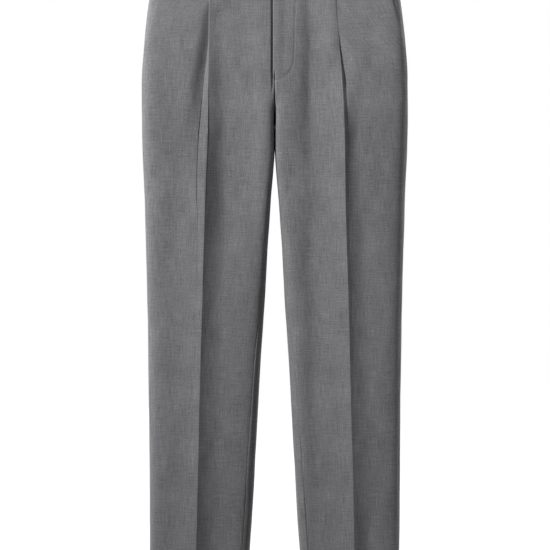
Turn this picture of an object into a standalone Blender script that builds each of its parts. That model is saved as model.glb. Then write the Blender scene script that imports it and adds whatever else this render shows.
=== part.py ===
"""Pleated dress trousers, filled out as if worn.

Every piece of cloth is a thin closed wall laid on one surface: two round legs that grow together
into one body above the fork.  Each half is worked out as the wearer's left (+X) and mirrored for
the right.  Metres, the front at -Y, +Z up, the origin at the middle of the waistband ring.
"""
from collections import namedtuple
import math

import bmesh
import bpy
from mathutils import Matrix, Vector
import numpy as np

# Driving dimensions
CLOTH = 0.0010             # one layer of the wool
GAP = 0.0003               # air between neighbouring pieces
BAND_TOP = 0.019
BAND_BOTTOM = -0.019
FORK = -0.255              # the crotch point, where the four legs of cloth meet
HEM = -1.022
RISE = {"front": 3.5, "back": 2.0}    # how late the front and back dip in to the fork
RISE_FOOT = 1.45           # and how gently they arrive there
RISE_ROUND = {"front": 2.6, "back": 2.2}    # how round the fork is between the legs

BAND_WALL = 0.0024         # waistband: two layers and its interlining
BAND_PROUD = 0.0005        # its middle outside the cloth's
BAND_UNDERLAP = 0.038      # right half behind the left one
BAND_SINK = 0.0027

POCKET_END = -0.155        # where the slanted pocket mouth reaches the side seam
POCKET_FORWARD = 0.062     # mouth in front of the side seam at the waist
POCKET_UNDER = 0.024       # facing hidden behind the mouth
POCKET_TAIL = 0.025        # and at most this far below its foot
POCKET_SINK = 0.0019
POCKET_DROP = 0.6          # share of what shows over which the facing sinks
POCKET_MERGE = 0.010       # width of the mouth below which it lies sunk all over

FLY_END = -0.184           # foot of the fly
FLY_CLOSE = 0.018          # height over which the lap runs out below it
FLY_LAP = 0.002            # left front past the middle
FLY_UNDERLAP = 0.003       # right front past the middle, below the left
FLY_SINK = 0.0018          # how far the right front lies below the left one there
FLY_SINK_FOOT = 0.030      # height over which it comes up again below the fly
LAP_HOLD = 0.004           # what lies under the left half keeps its depth this far from the middle
LAP_FADE = 0.030           # and comes up over this width
FOLD_CLEAR = 0.034         # width beside it over which the soft folds run out
MIDDLE_ZONE = 0.050        # width beside the middle on which the lapped pieces lie
MIDDLE_ROUND = 0.020       # rounding of the groove between the halves there

FOLD_RADIUS = 0.00065      # middle of the cloth round a sharp fold
TUCK_FULL = 0.006          # a valley this far behind the crease makes three full layers
LAYER_HOLD = 0.002         # the top layer leaves the lower ones this far past the tucked fold
LAYER_FADE = 0.025         # and meets the ring over this width
BACK_CREASE = 0.0040       # pressed crease of the backs, below the seat only
BACK_CREASE_TOP = -0.270
BACK_CREASE_FULL = -0.420
BACK_CREASE_REACH = 0.013
BACK_CREASE_BEARING = -86

BUTTON_RADIUS = 0.0078
BUTTON_THICK = 0.0034
BUTTON_X = 0.015
BUTTON_HOLE = 0.0010
BUTTON_HOLE_RING = 0.0019  # holes from the middle
BUTTON_STAND = 0.00045     # air behind it

# Grids
SAMPLES = 320              # points of each lobe before it is measured
OUTLINE_SPAN = 0.002       # and no further apart than this
NORMAL_STEP = 0.0015
TURN = 360                 # degrees
FRONT_REPEAT = 120         # bearings of the front past this come again before the back's
UPPER_ROWS = 15            # waist seam to fork
LOWER_ROWS = 10            # fork to hem
UPPER_CROWDING = 0.65      # how much closer the rows are at the fork than at the waist
LOWER_CROWDING = 1.3
FOLD_POINTS = 4            # round each fold of a pleat
# Shares of a front beside its crease
FIELD = (0.05, 0.14, 0.26, 0.40, 0.54, 0.66, 0.76, 0.84, 0.90, 0.95, 1.0)
BACK_FIELD = (0.08, 0.24, 0.46, 0.72, 1.0)
BAND_COLUMNS = 50
FLY_LAST_ROW = 12          # rows of the fronts that the fly's pieces follow
FACING_COLUMNS = 14
STRIP_COLUMNS = 4
SHIELD_COLUMNS = 6
BUTTON_SIDES = 20
HOLE_SIDES = 8
SHARP_ANGLE = 50           # degrees between faces that shade as an edge

# One row for each height: half width and half depth of the outline, centre in Y, half the gap
# between the legs, squareness of the front, of its inner corner and of the back, and how far the
# outseam and the inseam lie in front of the widest points (degrees).
Section = namedtuple("Section", "height width depth centre gap front inside back outseam inseam")
SECTIONS = (
    Section(0.019, 0.1930, 0.0870, 0.000, 0.0002, 12.0, 6.0, 2.1, 0.2, 0),
    Section(-0.019, 0.2006, 0.0905, 0.001, 0.0002, 14.0, 6.0, 2.1, 0.2, 0),
    Section(-0.050, 0.2058, 0.0965, 0.004, 0.0002, 15.0, 6.0, 2.1, 0.6, 0),
    Section(-0.115, 0.2130, 0.1085, 0.010, 0.0002, 14.0, 8.0, 2.2, 8, 0),
    Section(-0.182, 0.2175, 0.1150, 0.015, 0.0002, 12.0, 14.0, 2.2, 24, 0),
    Section(-0.220, 0.2180, 0.1155, 0.017, 0.0002, 11.0, 16.0, 2.2, 28, 0),
    Section(-0.255, 0.2180, 0.1120, 0.017, 0.0002, 10.0, 18.0, 2.2, 28, 0),
    Section(-0.293, 0.2172, 0.1055, 0.016, 0.0004, 9.5, 18.0, 2.2, 28, 5),
    Section(-0.379, 0.2138, 0.0930, 0.013, 0.0066, 8.6, 14.0, 2.2, 29, 14),
    Section(-0.461, 0.2114, 0.0825, 0.011, 0.0122, 8.4, 11.0, 2.2, 29, 26),
    Section(-0.544, 0.2095, 0.0725, 0.008, 0.0165, 8.0, 8.0, 2.2, 29, 38),
    Section(-0.643, 0.2078, 0.0620, 0.004, 0.0231, 7.0, 7.5, 2.2, 29, 48),
    Section(-0.775, 0.2066, 0.0540, 0.003, 0.0305, 6.4, 7.0, 2.2, 28, 52),
    Section(-0.907, 0.2056, 0.0480, 0.002, 0.0380, 6.0, 6.5, 2.2, 27, 54),
    Section(-1.022, 0.2050, 0.0435, 0.002, 0.0460, 6.0, 6.5, 2.2, 27, 55),
)

# The front crease, which is also the folded edge of the pleat.  crease is its distance from the
# middle, valley the place of the pleat's inner fold beside it (negative is tucked under), ridge
# how far the crease stands out and dip how deep the valley lies.  inner and outer are the widths
# over which each side comes down to the ring, and soft rounds both.
Pleat = namedtuple("Pleat", "height crease valley ridge dip inner outer soft")
PLEAT_LEFT = (
    Pleat(-0.019, 0.0975, -0.030, -0.0004, 0.0000, 0.016, 0.014, 0.0),
    Pleat(-0.050, 0.0990, -0.024, -0.0014, 0.0010, 0.014, 0.014, 0.0),
    Pleat(-0.082, 0.1012, -0.017, -0.0018, 0.0024, 0.014, 0.012, 0.0),
    Pleat(-0.115, 0.1040, -0.008, -0.0020, 0.0040, 0.013, 0.016, 0.0),
    Pleat(-0.148, 0.1066, 0.003, -0.0014, 0.0058, 0.012, 0.020, 0.0),
    Pleat(-0.182, 0.1094, 0.005, 0.0026, 0.0044, 0.028, 0.018, 0.4),
    Pleat(-0.215, 0.1114, 0.006, 0.0072, -0.0008, 0.050, 0.016, 0.5),
    Pleat(-0.255, 0.1130, 0.007, 0.0106, -0.0048, 0.056, 0.018, 0.3),
    Pleat(-0.280, 0.1138, 0.006, 0.0112, -0.0060, 0.058, 0.018, 0.2),
    Pleat(-0.346, 0.1148, 0.006, 0.0110, -0.0066, 0.062, 0.022, 0.0),
    Pleat(-0.412, 0.1160, 0.006, 0.0110, -0.0070, 0.066, 0.024, 0.0),
    Pleat(-0.544, 0.1205, 0.006, 0.0108, -0.0071, 0.070, 0.026, 0.0),
    Pleat(-0.709, 0.1243, 0.006, 0.0106, -0.0073, 0.070, 0.030, 0.0),
    Pleat(-0.874, 0.1288, 0.006, 0.0106, -0.0072, 0.066, 0.029, 0.0),
    Pleat(-1.022, 0.1312, 0.006, 0.0104, -0.0068, 0.060, 0.025, 0.0),
)
PLEAT_RIGHT = (
    Pleat(-0.019, 0.1060, -0.030, 0.0002, 0.0000, 0.016, 0.016, 1.0),
    Pleat(-0.050, 0.1062, -0.014, 0.0004, 0.0014, 0.018, 0.016, 0.8),
    Pleat(-0.082, 0.1066, -0.002, 0.0008, 0.0040, 0.020, 0.016, 0.7),
    Pleat(-0.115, 0.1068, 0.001, 0.0016, 0.0050, 0.022, 0.018, 0.8),
    Pleat(-0.148, 0.1072, 0.004, 0.0022, 0.0060, 0.022, 0.021, 1.0),
    Pleat(-0.182, 0.1077, 0.008, 0.0020, 0.0052, 0.023, 0.021, 1.0),
    Pleat(-0.215, 0.1081, 0.011, 0.0020, 0.0034, 0.024, 0.022, 1.0),
    Pleat(-0.248, 0.1085, 0.014, 0.0030, 0.0018, 0.028, 0.024, 0.9),
    Pleat(-0.280, 0.1094, 0.016, 0.0056, -0.0006, 0.031, 0.032, 0.5),
    Pleat(-0.346, 0.1122, 0.016, 0.0088, -0.0040, 0.037, 0.046, 0.2),
    Pleat(-0.412, 0.1146, 0.012, 0.0106, -0.0066, 0.036, 0.048, 0.0),
    Pleat(-0.544, 0.1186, 0.010, 0.0112, -0.0078, 0.036, 0.050, 0.0),
    Pleat(-0.709, 0.1234, 0.010, 0.0112, -0.0078, 0.035, 0.050, 0.0),
    Pleat(-0.874, 0.1270, 0.010, 0.0112, -0.0077, 0.038, 0.050, 0.0),
    Pleat(-1.022, 0.1306, 0.010, 0.0108, -0.0073, 0.038, 0.048, 0.0),
)

# Largest soft folds of the fronts, on side 1 (left) or -1 (right): a line from its top to its
# foot, how deep it is and how far it spreads towards the middle and away from it.
Fold = namedtuple("Fold", "side x_top z_top x_foot z_foot depth inward outward")
FOLDS = (
    Fold(1, 0.0590, 0.060, 0.0600, -0.360, 0.0062, 0.0140, 0.0400),
    Fold(1, 0.0600, -0.100, 0.0720, -1.100, 0.0046, 0.0190, 0.0400),
    Fold(-1, 0.0830, 0.000, 0.0800, -0.560, 0.0112, 0.0550, 0.0300),
)

# Flat pieces of the fly: width at each height, their depth behind the left front and their wall.
Strip = namedtuple("Strip", "height x_from x_to")
SHIELD = (Strip(-0.0193, -0.012, 0.040), Strip(-0.150, -0.012, 0.038), Strip(-0.200, -0.012, 0.012))
SHIELD_DEPTH = 0.0058
SLIDER = (Strip(-0.0240, 0.0039, 0.0111), Strip(-0.0290, 0.0037, 0.0113), Strip(-0.0345, 0.0047, 0.0103))
SLIDER_DEPTH = 0.00235
SLIDER_WALL = 0.0009
PULL = (Strip(-0.0290, 0.0056, 0.0094), Strip(-0.0320, 0.0052, 0.0098), Strip(-0.0520, 0.0042, 0.0108),
        Strip(-0.0550, 0.0052, 0.0098))
PULL_DEPTH = 0.0013
PULL_WALL = 0.0008
ZIP_FOOT = -0.180

# Outline of the zip across the fly: place and depth of its front and back faces.
Tape = namedtuple("Tape", "x front back")
TAPE = (
    Tape(-0.0080, 0.0027, 0.0035),
    Tape(0.0030, 0.0038, 0.0046),
    Tape(0.0049, 0.0038, 0.0046),
    Tape(0.0050, 0.0031, 0.0050),
    Tape(0.0100, 0.0031, 0.0050),
    Tape(0.0101, 0.0038, 0.0046),
    Tape(0.0120, 0.0038, 0.0046),
    Tape(0.0220, 0.0022, 0.0030),
)

# Outline of the button from its middle outwards and round to its back: shares of its radius and
# of its thickness.
Turned = namedtuple("Turned", "radius height")
BUTTON = (
    Turned(0.00, 0.70),
    Turned(0.66, 0.70),
    Turned(0.80, 1.00),
    Turned(0.93, 0.92),
    Turned(1.00, 0.62),
    Turned(0.88, 0.00),
    Turned(0.00, 0.00),
)

# Finishes: colour, roughness, metallic
WOOL = ((0.150, 0.150, 0.154), 0.95, 0.0)
WOOL_BACK = ((0.135, 0.135, 0.139), 0.95, 0.0)
TAPE_CLOTH = ((0.055, 0.055, 0.058), 0.85, 0.0)
METAL = ((0.55, 0.53, 0.50), 0.30, 1.0)
HORN = ((0.045, 0.042, 0.040), 0.35, 0.0)


# Small numeric helpers

def column(rows, name, height):
    """Smooth value of one column of a table at a height, without overshoot."""
    heights = np.array([-row.height for row in rows])
    values = np.array([float(getattr(row, name)) for row in rows])
    steps = np.diff(heights)
    slopes = np.diff(values) / steps
    tangents = np.zeros(len(values))
    tangents[0] = slopes[0]
    tangents[-1] = slopes[-1]
    for k in range(1, len(values) - 1):
        if slopes[k - 1] * slopes[k] > 0:
            tangents[k] = 2 * slopes[k - 1] * slopes[k] / (slopes[k - 1] + slopes[k])
    at = min(max(-height, heights[0]), heights[-1])
    k = min(int(np.searchsorted(heights, at, side="right")) - 1, len(steps) - 1)
    t = (at - heights[k]) / steps[k]
    rise = (2 * t ** 3 - 3 * t ** 2 + 1) * values[k] + (3 * t ** 2 - 2 * t ** 3) * values[k + 1]
    lean = (t ** 3 - 2 * t ** 2 + t) * tangents[k] + (t ** 3 - t ** 2) * tangents[k + 1]
    return float(rise + lean * steps[k])


def ease(t):
    """0 to 1 with flat ends."""
    t = min(max(t, 0.0), 1.0)
    return t * t * (3 - 2 * t)


# The surface

def lobe(height, face):
    """Front or back half of one leg's section: rows of bearing, x and y.

    It starts at the widest point, at bearing 0, and ends at the middle of the garment, or below
    the fork at the innermost point of the leg, at bearing 180.
    """
    width = column(SECTIONS, "width", height) - CLOTH / 2
    depth = column(SECTIONS, "depth", height) - CLOTH / 2
    centre_y = column(SECTIONS, "centre", height)
    power = column(SECTIONS, face, height)
    inner = column(SECTIONS, "gap", height) + CLOTH / 2
    drop = min(max((BAND_BOTTOM - height) / (BAND_BOTTOM - FORK), 0.0), 1.0)
    inside = column(SECTIONS, "inside" if face == "front" else "back", height)
    risen = 1 - (1 - drop ** RISE[face]) ** RISE_FOOT
    left = (1 - risen ** RISE_ROUND[face]) ** (1 / RISE_ROUND[face])
    parted = (1 - left ** inside) ** (1 / inside)
    half = (width - inner * parted) / (1 + parted)
    end = math.acos(-min(width / half - 1, 1.0) ** (inside / 2))
    facing = -1 if face == "front" else 1
    rows = []
    for k in range(SAMPLES + 1):
        angle = end * k / SAMPLES
        across = math.cos(angle)
        roundness = 2 / (inside if across < 0 else power)
        x = width - half + half * math.copysign(abs(across) ** roundness, across)
        y = centre_y + facing * depth * abs(math.sin(angle)) ** roundness
        rows.append((math.degrees(angle), x, y))
    return filled_in(np.array(rows))


def filled_in(rows):
    """The same outline with points no further apart than the span."""
    steps = np.linalg.norm(np.diff(rows[:, 1:], axis=0), axis=1)
    along = np.concatenate(([0.0], np.cumsum(steps)))
    finer = np.union1d(along, np.arange(0.0, along[-1], OUTLINE_SPAN))
    return np.column_stack([np.interp(finer, along, rows[:, k]) for k in range(3)])


def round_middle(rows, height):
    """Round off the groove at the front middle and run the section on past it."""
    soft = MIDDLE_ROUND * min(max((height - FORK) / (FLY_END - FORK), 0.0), 1.0) ** 2
    near = rows[rows[:, 1] < MIDDLE_ZONE]
    fade = np.array([1 - ease(x / MIDDLE_ZONE) for x in near[:, 1]])
    ascending = rows[::-1]
    ys = np.interp(np.hypot(near[:, 1], soft * fade), ascending[:, 1], ascending[:, 2])
    rounded = np.column_stack((near[:, 0], near[:, 1], ys))
    past = rounded[-2::-1] * (-1, -1, 1) + (TURN, 0, 0)
    return np.vstack((rows[rows[:, 1] >= MIDDLE_ZONE], rounded, past))


class Ring:
    """Section of the left half at a height, measured along the middle of the cloth.

    Lengths and bearings run from the back middle, round the outside, to the front middle.
    """

    def __init__(self, height):
        self.height = height
        front = lobe(height, "front")
        back = lobe(height, "back")[::-1] * (-1, 1, 1)
        if height <= FORK:
            wrapped = front[front[:, 0] > FRONT_REPEAT] - (TURN, 0, 0)
            rows = np.vstack((wrapped[:-1], back[:-1], front))
        else:
            rows = np.vstack((back[:-1], round_middle(front, height)))
        self.bearings = rows[:, 0]
        self.points = rows[:, 1:]
        steps = np.linalg.norm(np.diff(self.points, axis=0), axis=1)
        self.lengths = np.concatenate(([0.0], np.cumsum(steps)))

    def at_bearing(self, degrees):
        """Length at a bearing."""
        return float(np.interp(degrees, self.bearings, self.lengths))

    def at_front_x(self, x):
        """Length at which the front passes x."""
        front = self.bearings >= 0
        return float(np.interp(-x, -self.points[front, 0], self.lengths[front]))

    def at_back_x(self, x):
        """Length at which the back passes x, above the fork."""
        back = self.bearings <= 0
        return float(np.interp(x, self.points[back, 0], self.lengths[back]))

    def x_at(self, length):
        """Distance from the middle at a length."""
        return float(np.interp(length, self.lengths, self.points[:, 0]))

    def normal(self, length):
        """Outward direction in plan."""
        ends = np.clip((length - NORMAL_STEP, length + NORMAL_STEP), 0.0, self.lengths[-1])
        xs = np.interp(ends, self.lengths, self.points[:, 0])
        ys = np.interp(ends, self.lengths, self.points[:, 1])
        size = math.hypot(xs[1] - xs[0], ys[1] - ys[0])
        return -(ys[1] - ys[0]) / size, (xs[1] - xs[0]) / size

    def point(self, length, lift):
        """Point at a length, lifted outwards off the ring, and the outward direction in plan."""
        x = np.interp(length, self.lengths, self.points[:, 0])
        y = np.interp(length, self.lengths, self.points[:, 1])
        nx, ny = self.normal(length)
        return x + lift * nx, y + lift * ny, self.height, nx, ny


def middle_edge(ring, at_x):
    """Length of a seam edge at the middle, so that the wall keeps half the gap from it."""
    nx, _ = ring.normal(at_x(CLOTH))
    return at_x(GAP / 2 + CLOTH / 2 * abs(nx))


def wall_heights():
    """Rows from the waist seam to the hem, closer together near the fork."""
    top = BAND_BOTTOM - GAP
    heights = []
    for k in range(UPPER_ROWS):
        part = k / UPPER_ROWS
        crowded = part + UPPER_CROWDING * (math.sin(math.pi / 2 * part) - part)
        heights.append(top + (FORK - top) * crowded)
    for k in range(LOWER_ROWS + 1):
        heights.append(FORK + (HEM - FORK) * (k / LOWER_ROWS) ** LOWER_CROWDING)
    return heights


# The fronts

def flank(away, width, soft=0.0):
    """Share of a crease's height left at a distance beside it: steepest at the crease, or soft."""
    left = min(max(1 - away / width, 0.0), 1.0)
    return left ** 2 * (1 - soft) + ease(left) * soft


def pleat_path(pleat):
    """Path of the cloth round the pleat's two folds, as distances beside and off the ring.

    It runs from the foot of the valley up to the crease.  Where the valley is tucked under, the
    cloth lies in three layers; where it has moved out beside the crease, it is an open trough.
    """
    stacked = 2 * (CLOTH + GAP) * min(max(-pleat.valley / TUCK_FULL, 0.0), 1.0)
    top = np.array((0.0, stacked + pleat.ridge - FOLD_RADIUS))
    foot = np.array((pleat.valley, FOLD_RADIUS - pleat.dip))
    apart = foot - top
    leave = math.atan2(apart[1], apart[0]) + math.acos(2 * FOLD_RADIUS / np.linalg.norm(apart))
    slope = 2 * (1 - pleat.soft) / pleat.inner
    arrive = math.pi / 2 + math.atan(pleat.ridge * slope)
    rise = 1.5 * math.pi + math.atan(2 * (1 - pleat.soft) * pleat.dip / pleat.outer)
    path = []
    for k in range(FOLD_POINTS):
        angle = rise + (leave + math.pi - rise) * k / (FOLD_POINTS - 1)
        path.append(foot + FOLD_RADIUS * np.array((math.cos(angle), math.sin(angle))))
    ridge = []
    for k in range(FOLD_POINTS):
        angle = leave + (arrive - leave) * k / (FOLD_POINTS - 1)
        ridge.append(top + FOLD_RADIUS * np.array((math.cos(angle), math.sin(angle))))
    path.append((path[-1] + ridge[0]) / 2)
    return path + ridge, stacked


def soft_folds(side, x, height):
    """Lift of the largest soft folds at a place on a front."""
    lift = 0.0
    for fold in FOLDS:
        if fold.side != side or not fold.z_foot < height < fold.z_top:
            continue
        part = (height - fold.z_top) / (fold.z_foot - fold.z_top)
        middle = fold.x_top + (fold.x_foot - fold.x_top) * part
        spread = fold.inward if x < middle else fold.outward
        lift -= fold.depth * math.sin(math.pi * part) ** 1.5 * math.exp(-((x - middle) / spread) ** 2)
    return lift * ease((x - LAP_HOLD) / FOLD_CLEAR)


def pocket_mouth(ring):
    """Length of the slanted mouth, which runs back to the side seam at its foot."""
    part = (ring.height - POCKET_END) / (BAND_BOTTOM - POCKET_END)
    return ring.at_bearing(column(SECTIONS, "outseam", ring.height)) + POCKET_FORWARD * part


def front_ends(ring, side):
    """Lengths of the outer and the inner edge of a front."""
    if ring.height > POCKET_END:
        outer = pocket_mouth(ring) + GAP / 2
    else:
        outer = ring.at_bearing(column(SECTIONS, "outseam", ring.height)) + GAP / 2
    if ring.height <= FORK:
        return outer, ring.at_bearing(180 - column(SECTIONS, "inseam", ring.height)) - GAP / 2
    lap = FLY_LAP if side > 0 else FLY_UNDERLAP
    closing = 1 - ease((FLY_END + FLY_CLOSE / 2 - ring.height) / FLY_CLOSE)
    edge = middle_edge(ring, ring.at_front_x)
    if closing <= 0:
        return outer, edge
    return outer, edge + (ring.at_front_x(-lap) - edge) * closing


def lapped(ring, length):
    """1 beside the middle, where the right half passes under the left one, down to 0."""
    return 1 - ease((ring.x_at(length) - LAP_HOLD) / LAP_FADE)


def fly_sink(ring, length, side):
    """How far the right front drops to pass below the left one at the fly."""
    if side > 0 or ring.height <= FORK:
        return 0.0
    low = 1 - ease((FLY_END - ring.height) / FLY_SINK_FOOT)
    return FLY_SINK * low * lapped(ring, length)


def front_row(height, side):
    """Points of a front at one height, from the side seam to the middle."""
    ring = Ring(height)
    rows = PLEAT_LEFT if side > 0 else PLEAT_RIGHT
    pleat = Pleat(height, *(column(rows, name, height) for name in Pleat._fields[1:]))
    crease = ring.at_front_x(pleat.crease)
    outer, inner = front_ends(ring, side)
    path, stacked = pleat_path(pleat)
    points = []
    for part in FIELD[::-1]:
        start = crease - path[0][0]
        length = start + (outer - start) * part
        away = abs(length - start)
        lift = path[0][1] * flank(away, pleat.outer, pleat.soft)
        points.append((length, lift + soft_folds(side, ring.x_at(length), height)))
    at_crease = soft_folds(side, pleat.crease, height)
    for beside, off in path:
        points.append((crease - beside, off + at_crease))
    for part in FIELD:
        start = crease - path[-1][0]
        length = start + (inner - start) * part
        away = length - start
        ridge = (path[-1][1] - stacked) * flank(away, pleat.inner, pleat.soft)
        past_fold = away + min(pleat.valley, 0.0) - LAYER_HOLD
        layers = stacked * (1 - ease(past_fold / LAYER_FADE))
        lift = ridge + layers + soft_folds(side, ring.x_at(length), height)
        points.append((length, lift - fly_sink(ring, length, side)))
    return [ring.point(length, lift) for length, lift in points]


# The backs

def back_row(height):
    """Points of a back at one height, from the middle or inseam to the side seam."""
    ring = Ring(height)
    if height <= FORK:
        inner = ring.at_bearing(-180 - column(SECTIONS, "inseam", height)) + GAP / 2
    else:
        inner = middle_edge(ring, ring.at_back_x)
    outer = ring.at_bearing(column(SECTIONS, "outseam", height)) - GAP / 2
    crease = ring.at_bearing(BACK_CREASE_BEARING)
    shown = ease((BACK_CREASE_TOP - height) / (BACK_CREASE_TOP - BACK_CREASE_FULL))
    lengths = [crease + (inner - crease) * part for part in BACK_FIELD[::-1]]
    lengths += [crease]
    lengths += [crease + (outer - crease) * part for part in BACK_FIELD]
    row = []
    for length in lengths:
        lift = BACK_CREASE * shown * math.exp(-abs(length - crease) / BACK_CREASE_REACH)
        row.append(ring.point(length, lift))
    return row


# The other cloth pieces

def band_row(height, side):
    """Points of half a waistband at one height, from the back middle to its front end."""
    ring = Ring(height)
    start = middle_edge(ring, ring.at_back_x)
    end = ring.at_front_x(-FLY_LAP if side > 0 else -BAND_UNDERLAP)
    row = []
    for k in range(BAND_COLUMNS):
        length = start + (end - start) * k / (BAND_COLUMNS - 1)
        under = side < 0 and length > ring.at_bearing(0)
        low = BAND_SINK * lapped(ring, length) if under else 0.0
        row.append(ring.point(length, BAND_PROUD - low))
    return row


def facing_row(height):
    """Points of a pocket facing at one height, from the side seam to under the front."""
    ring = Ring(height)
    seam = ring.at_bearing(column(SECTIONS, "outseam", height)) + GAP / 2
    mouth = pocket_mouth(ring) if height > POCKET_END else seam
    shown = max(mouth - seam, GAP)
    row = []
    for k in range(FACING_COLUMNS):
        away = (shown + POCKET_UNDER) * k / (FACING_COLUMNS - 1)
        low = max(ease(away / (POCKET_DROP * shown)), 1 - ease(shown / POCKET_MERGE))
        row.append(ring.point(seam + away, -POCKET_SINK * low))
    return row


def fly_point(x, depth, height):
    """Point behind the fly, on the straight between the rows of the fronts."""
    heights = wall_heights()
    k = max(index for index in range(FLY_LAST_ROW) if heights[index] >= height - 1e-9)
    ends = [Ring(heights[k]), Ring(heights[k + 1])]
    upper, lower = [np.array(ring.point(ring.at_front_x(x), -depth)) for ring in ends]
    return upper + (lower - upper) * (heights[k] - height) / (heights[k] - heights[k + 1])


def strip_rows(strips, depth, heights, columns=STRIP_COLUMNS):
    """Grid of a flat piece behind the fly, from its widths at a few heights."""
    grid = []
    for height in heights:
        x_from = column(strips, "x_from", height)
        x_to = column(strips, "x_to", height)
        xs = [x_to + (x_from - x_to) * k / (columns - 1) for k in range(columns)]
        grid.append([fly_point(x, depth, height) for x in xs])
    return grid


# Meshes and objects

def finish(name, look):
    """Principled material of one piece."""
    colour, roughness, metallic = look
    material = bpy.data.materials.new(name)
    material.use_nodes = True
    shader = material.node_tree.nodes["Principled BSDF"]
    shader.inputs["Base Color"].default_value = (*colour, 1.0)
    shader.inputs["Roughness"].default_value = roughness
    shader.inputs["Metallic"].default_value = metallic
    material.diffuse_color = (*colour, 1.0)
    return material


def add_object(name, mesh, look, parent):
    """Object of a mesh, with its own material."""
    mesh.materials.append(finish(name, look))
    piece = bpy.data.objects.new(name, mesh)
    bpy.context.scene.collection.objects.link(piece)
    piece.parent = parent
    return piece


def grid_normals(grid, plan):
    """Unit normals of a grid of points, outwards.

    They are level along its top and foot, and follow the ring's own direction along its sides.
    """
    across = np.empty_like(grid)
    across[:, 1:-1] = grid[:, 2:] - grid[:, :-2]
    across[:, 0] = grid[:, 1] - grid[:, 0]
    across[:, -1] = grid[:, -1] - grid[:, -2]
    down = np.empty_like(grid)
    down[1:-1] = grid[2:] - grid[:-2]
    down[0] = grid[1] - grid[0]
    down[-1] = grid[-1] - grid[-2]
    normals = np.cross(across, down)
    normals[(0, -1), :, 2] = 0.0
    normals /= np.linalg.norm(normals, axis=2, keepdims=True)
    for edge in (0, -1):
        level = np.sqrt(1 - normals[:, edge, 2:] ** 2)
        normals[:, edge, :2] = plan[:, edge] * level
    return normals


def cloth_wall(name, rows, wall, side, look, parent):
    """Closed wall, half its thickness to each side of a grid, mirrored for the right side."""
    table = np.array(rows, dtype=float)
    grid = table[..., :3]
    normals = grid_normals(grid, table[..., 3:])
    faces_out = np.stack((grid + normals * wall / 2, grid - normals * wall / 2))
    faces_out[..., 0] *= side
    count, width = grid.shape[:2]
    size = count * width
    quads = []
    for r in range(count - 1):
        for c in range(width - 1):
            a = r * width + c
            quads.append((a, a + 1, a + width + 1, a + width))
            quads.append((size + a, size + a + width, size + a + width + 1, size + a + 1))
    rim = list(range(width))
    rim += [r * width + width - 1 for r in range(1, count)]
    rim += [(count - 1) * width + c for c in range(width - 2, -1, -1)]
    rim += [r * width for r in range(count - 2, 0, -1)]
    for k, a in enumerate(rim):
        b = rim[(k + 1) % len(rim)]
        quads.append((b, a, size + a, size + b))
    if side < 0:
        quads = [quad[::-1] for quad in quads]
    mesh = bpy.data.meshes.new(name)
    mesh.from_pydata(faces_out.reshape(-1, 3).tolist(), [], quads)
    mesh.validate()
    mesh.shade_smooth()
    mesh.set_sharp_from_angle(angle=math.radians(SHARP_ANGLE))
    return add_object(name, mesh, look, parent)


def make_fronts(parent):
    """The two front panels, each with its pleat, crease and soft folds."""
    heights = wall_heights()
    for name, side in (("front_left", 1), ("front_right", -1)):
        rows = [front_row(height, side) for height in heights]
        cloth_wall(name, rows, CLOTH, side, WOOL, parent)


def make_backs(parent):
    """The two back panels, creased below the seat."""
    heights = wall_heights()
    for name, side in (("back_left", 1), ("back_right", -1)):
        rows = [back_row(height) for height in heights]
        cloth_wall(name, rows, CLOTH, side, WOOL_BACK, parent)


def make_waistband(parent):
    """The two halves of the band; the right one runs on behind the left."""
    for name, side in (("waistband_left", 1), ("waistband_right", -1)):
        rows = [band_row(height, side) for height in (BAND_TOP, BAND_BOTTOM)]
        cloth_wall(name, rows, BAND_WALL, side, WOOL, parent)


def make_pocket_facings(parent):
    """The cloth that shows in each slanted pocket mouth."""
    for name, side in (("pocket_facing_left", 1), ("pocket_facing_right", -1)):
        heights = [height for height in wall_heights() if height > POCKET_END - POCKET_TAIL]
        rows = [facing_row(height) for height in heights]
        cloth_wall(name, rows, CLOTH, side, WOOL_BACK, parent)


def make_fly_pieces(parent):
    """The shield behind the zip, and the zip's slider and pull at its closed top."""
    heights = [height for height in wall_heights() if height > SHIELD[-1].height]
    rows = strip_rows(SHIELD, SHIELD_DEPTH, heights, SHIELD_COLUMNS)
    cloth_wall("fly_shield", rows, CLOTH, 1, WOOL_BACK, parent)
    heights = [strip.height for strip in SLIDER]
    rows = strip_rows(SLIDER, SLIDER_DEPTH, heights)
    cloth_wall("zip_slider", rows, SLIDER_WALL, 1, METAL, parent)
    heights = [strip.height for strip in PULL]
    rows = strip_rows(PULL, PULL_DEPTH, heights)
    cloth_wall("zip_pull", rows, PULL_WALL, 1, METAL, parent)


def make_zip(parent):
    """Tapes and chain as one swept outline behind the fly."""
    outline = [(tape.x, tape.front) for tape in TAPE]
    outline += [(tape.x, tape.back) for tape in TAPE[::-1]]
    mesh = bpy.data.meshes.new("zip")
    work = bmesh.new()
    loops = []
    for height in [height for height in wall_heights() if height > ZIP_FOOT]:
        places = [fly_point(x, depth, height)[:3] for x, depth in outline]
        loops.append([work.verts.new(place) for place in places])
    for upper, lower in zip(loops, loops[1:]):
        for k, corner in enumerate(upper):
            after = (k + 1) % len(upper)
            work.faces.new((corner, upper[after], lower[after], lower[k]))
    work.faces.new(loops[0][::-1])
    work.faces.new(loops[-1])
    bmesh.ops.recalc_face_normals(work, faces=work.faces)
    work.to_mesh(mesh)
    work.free()
    add_object("zip", mesh, TAPE_CLOTH, parent)


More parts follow.
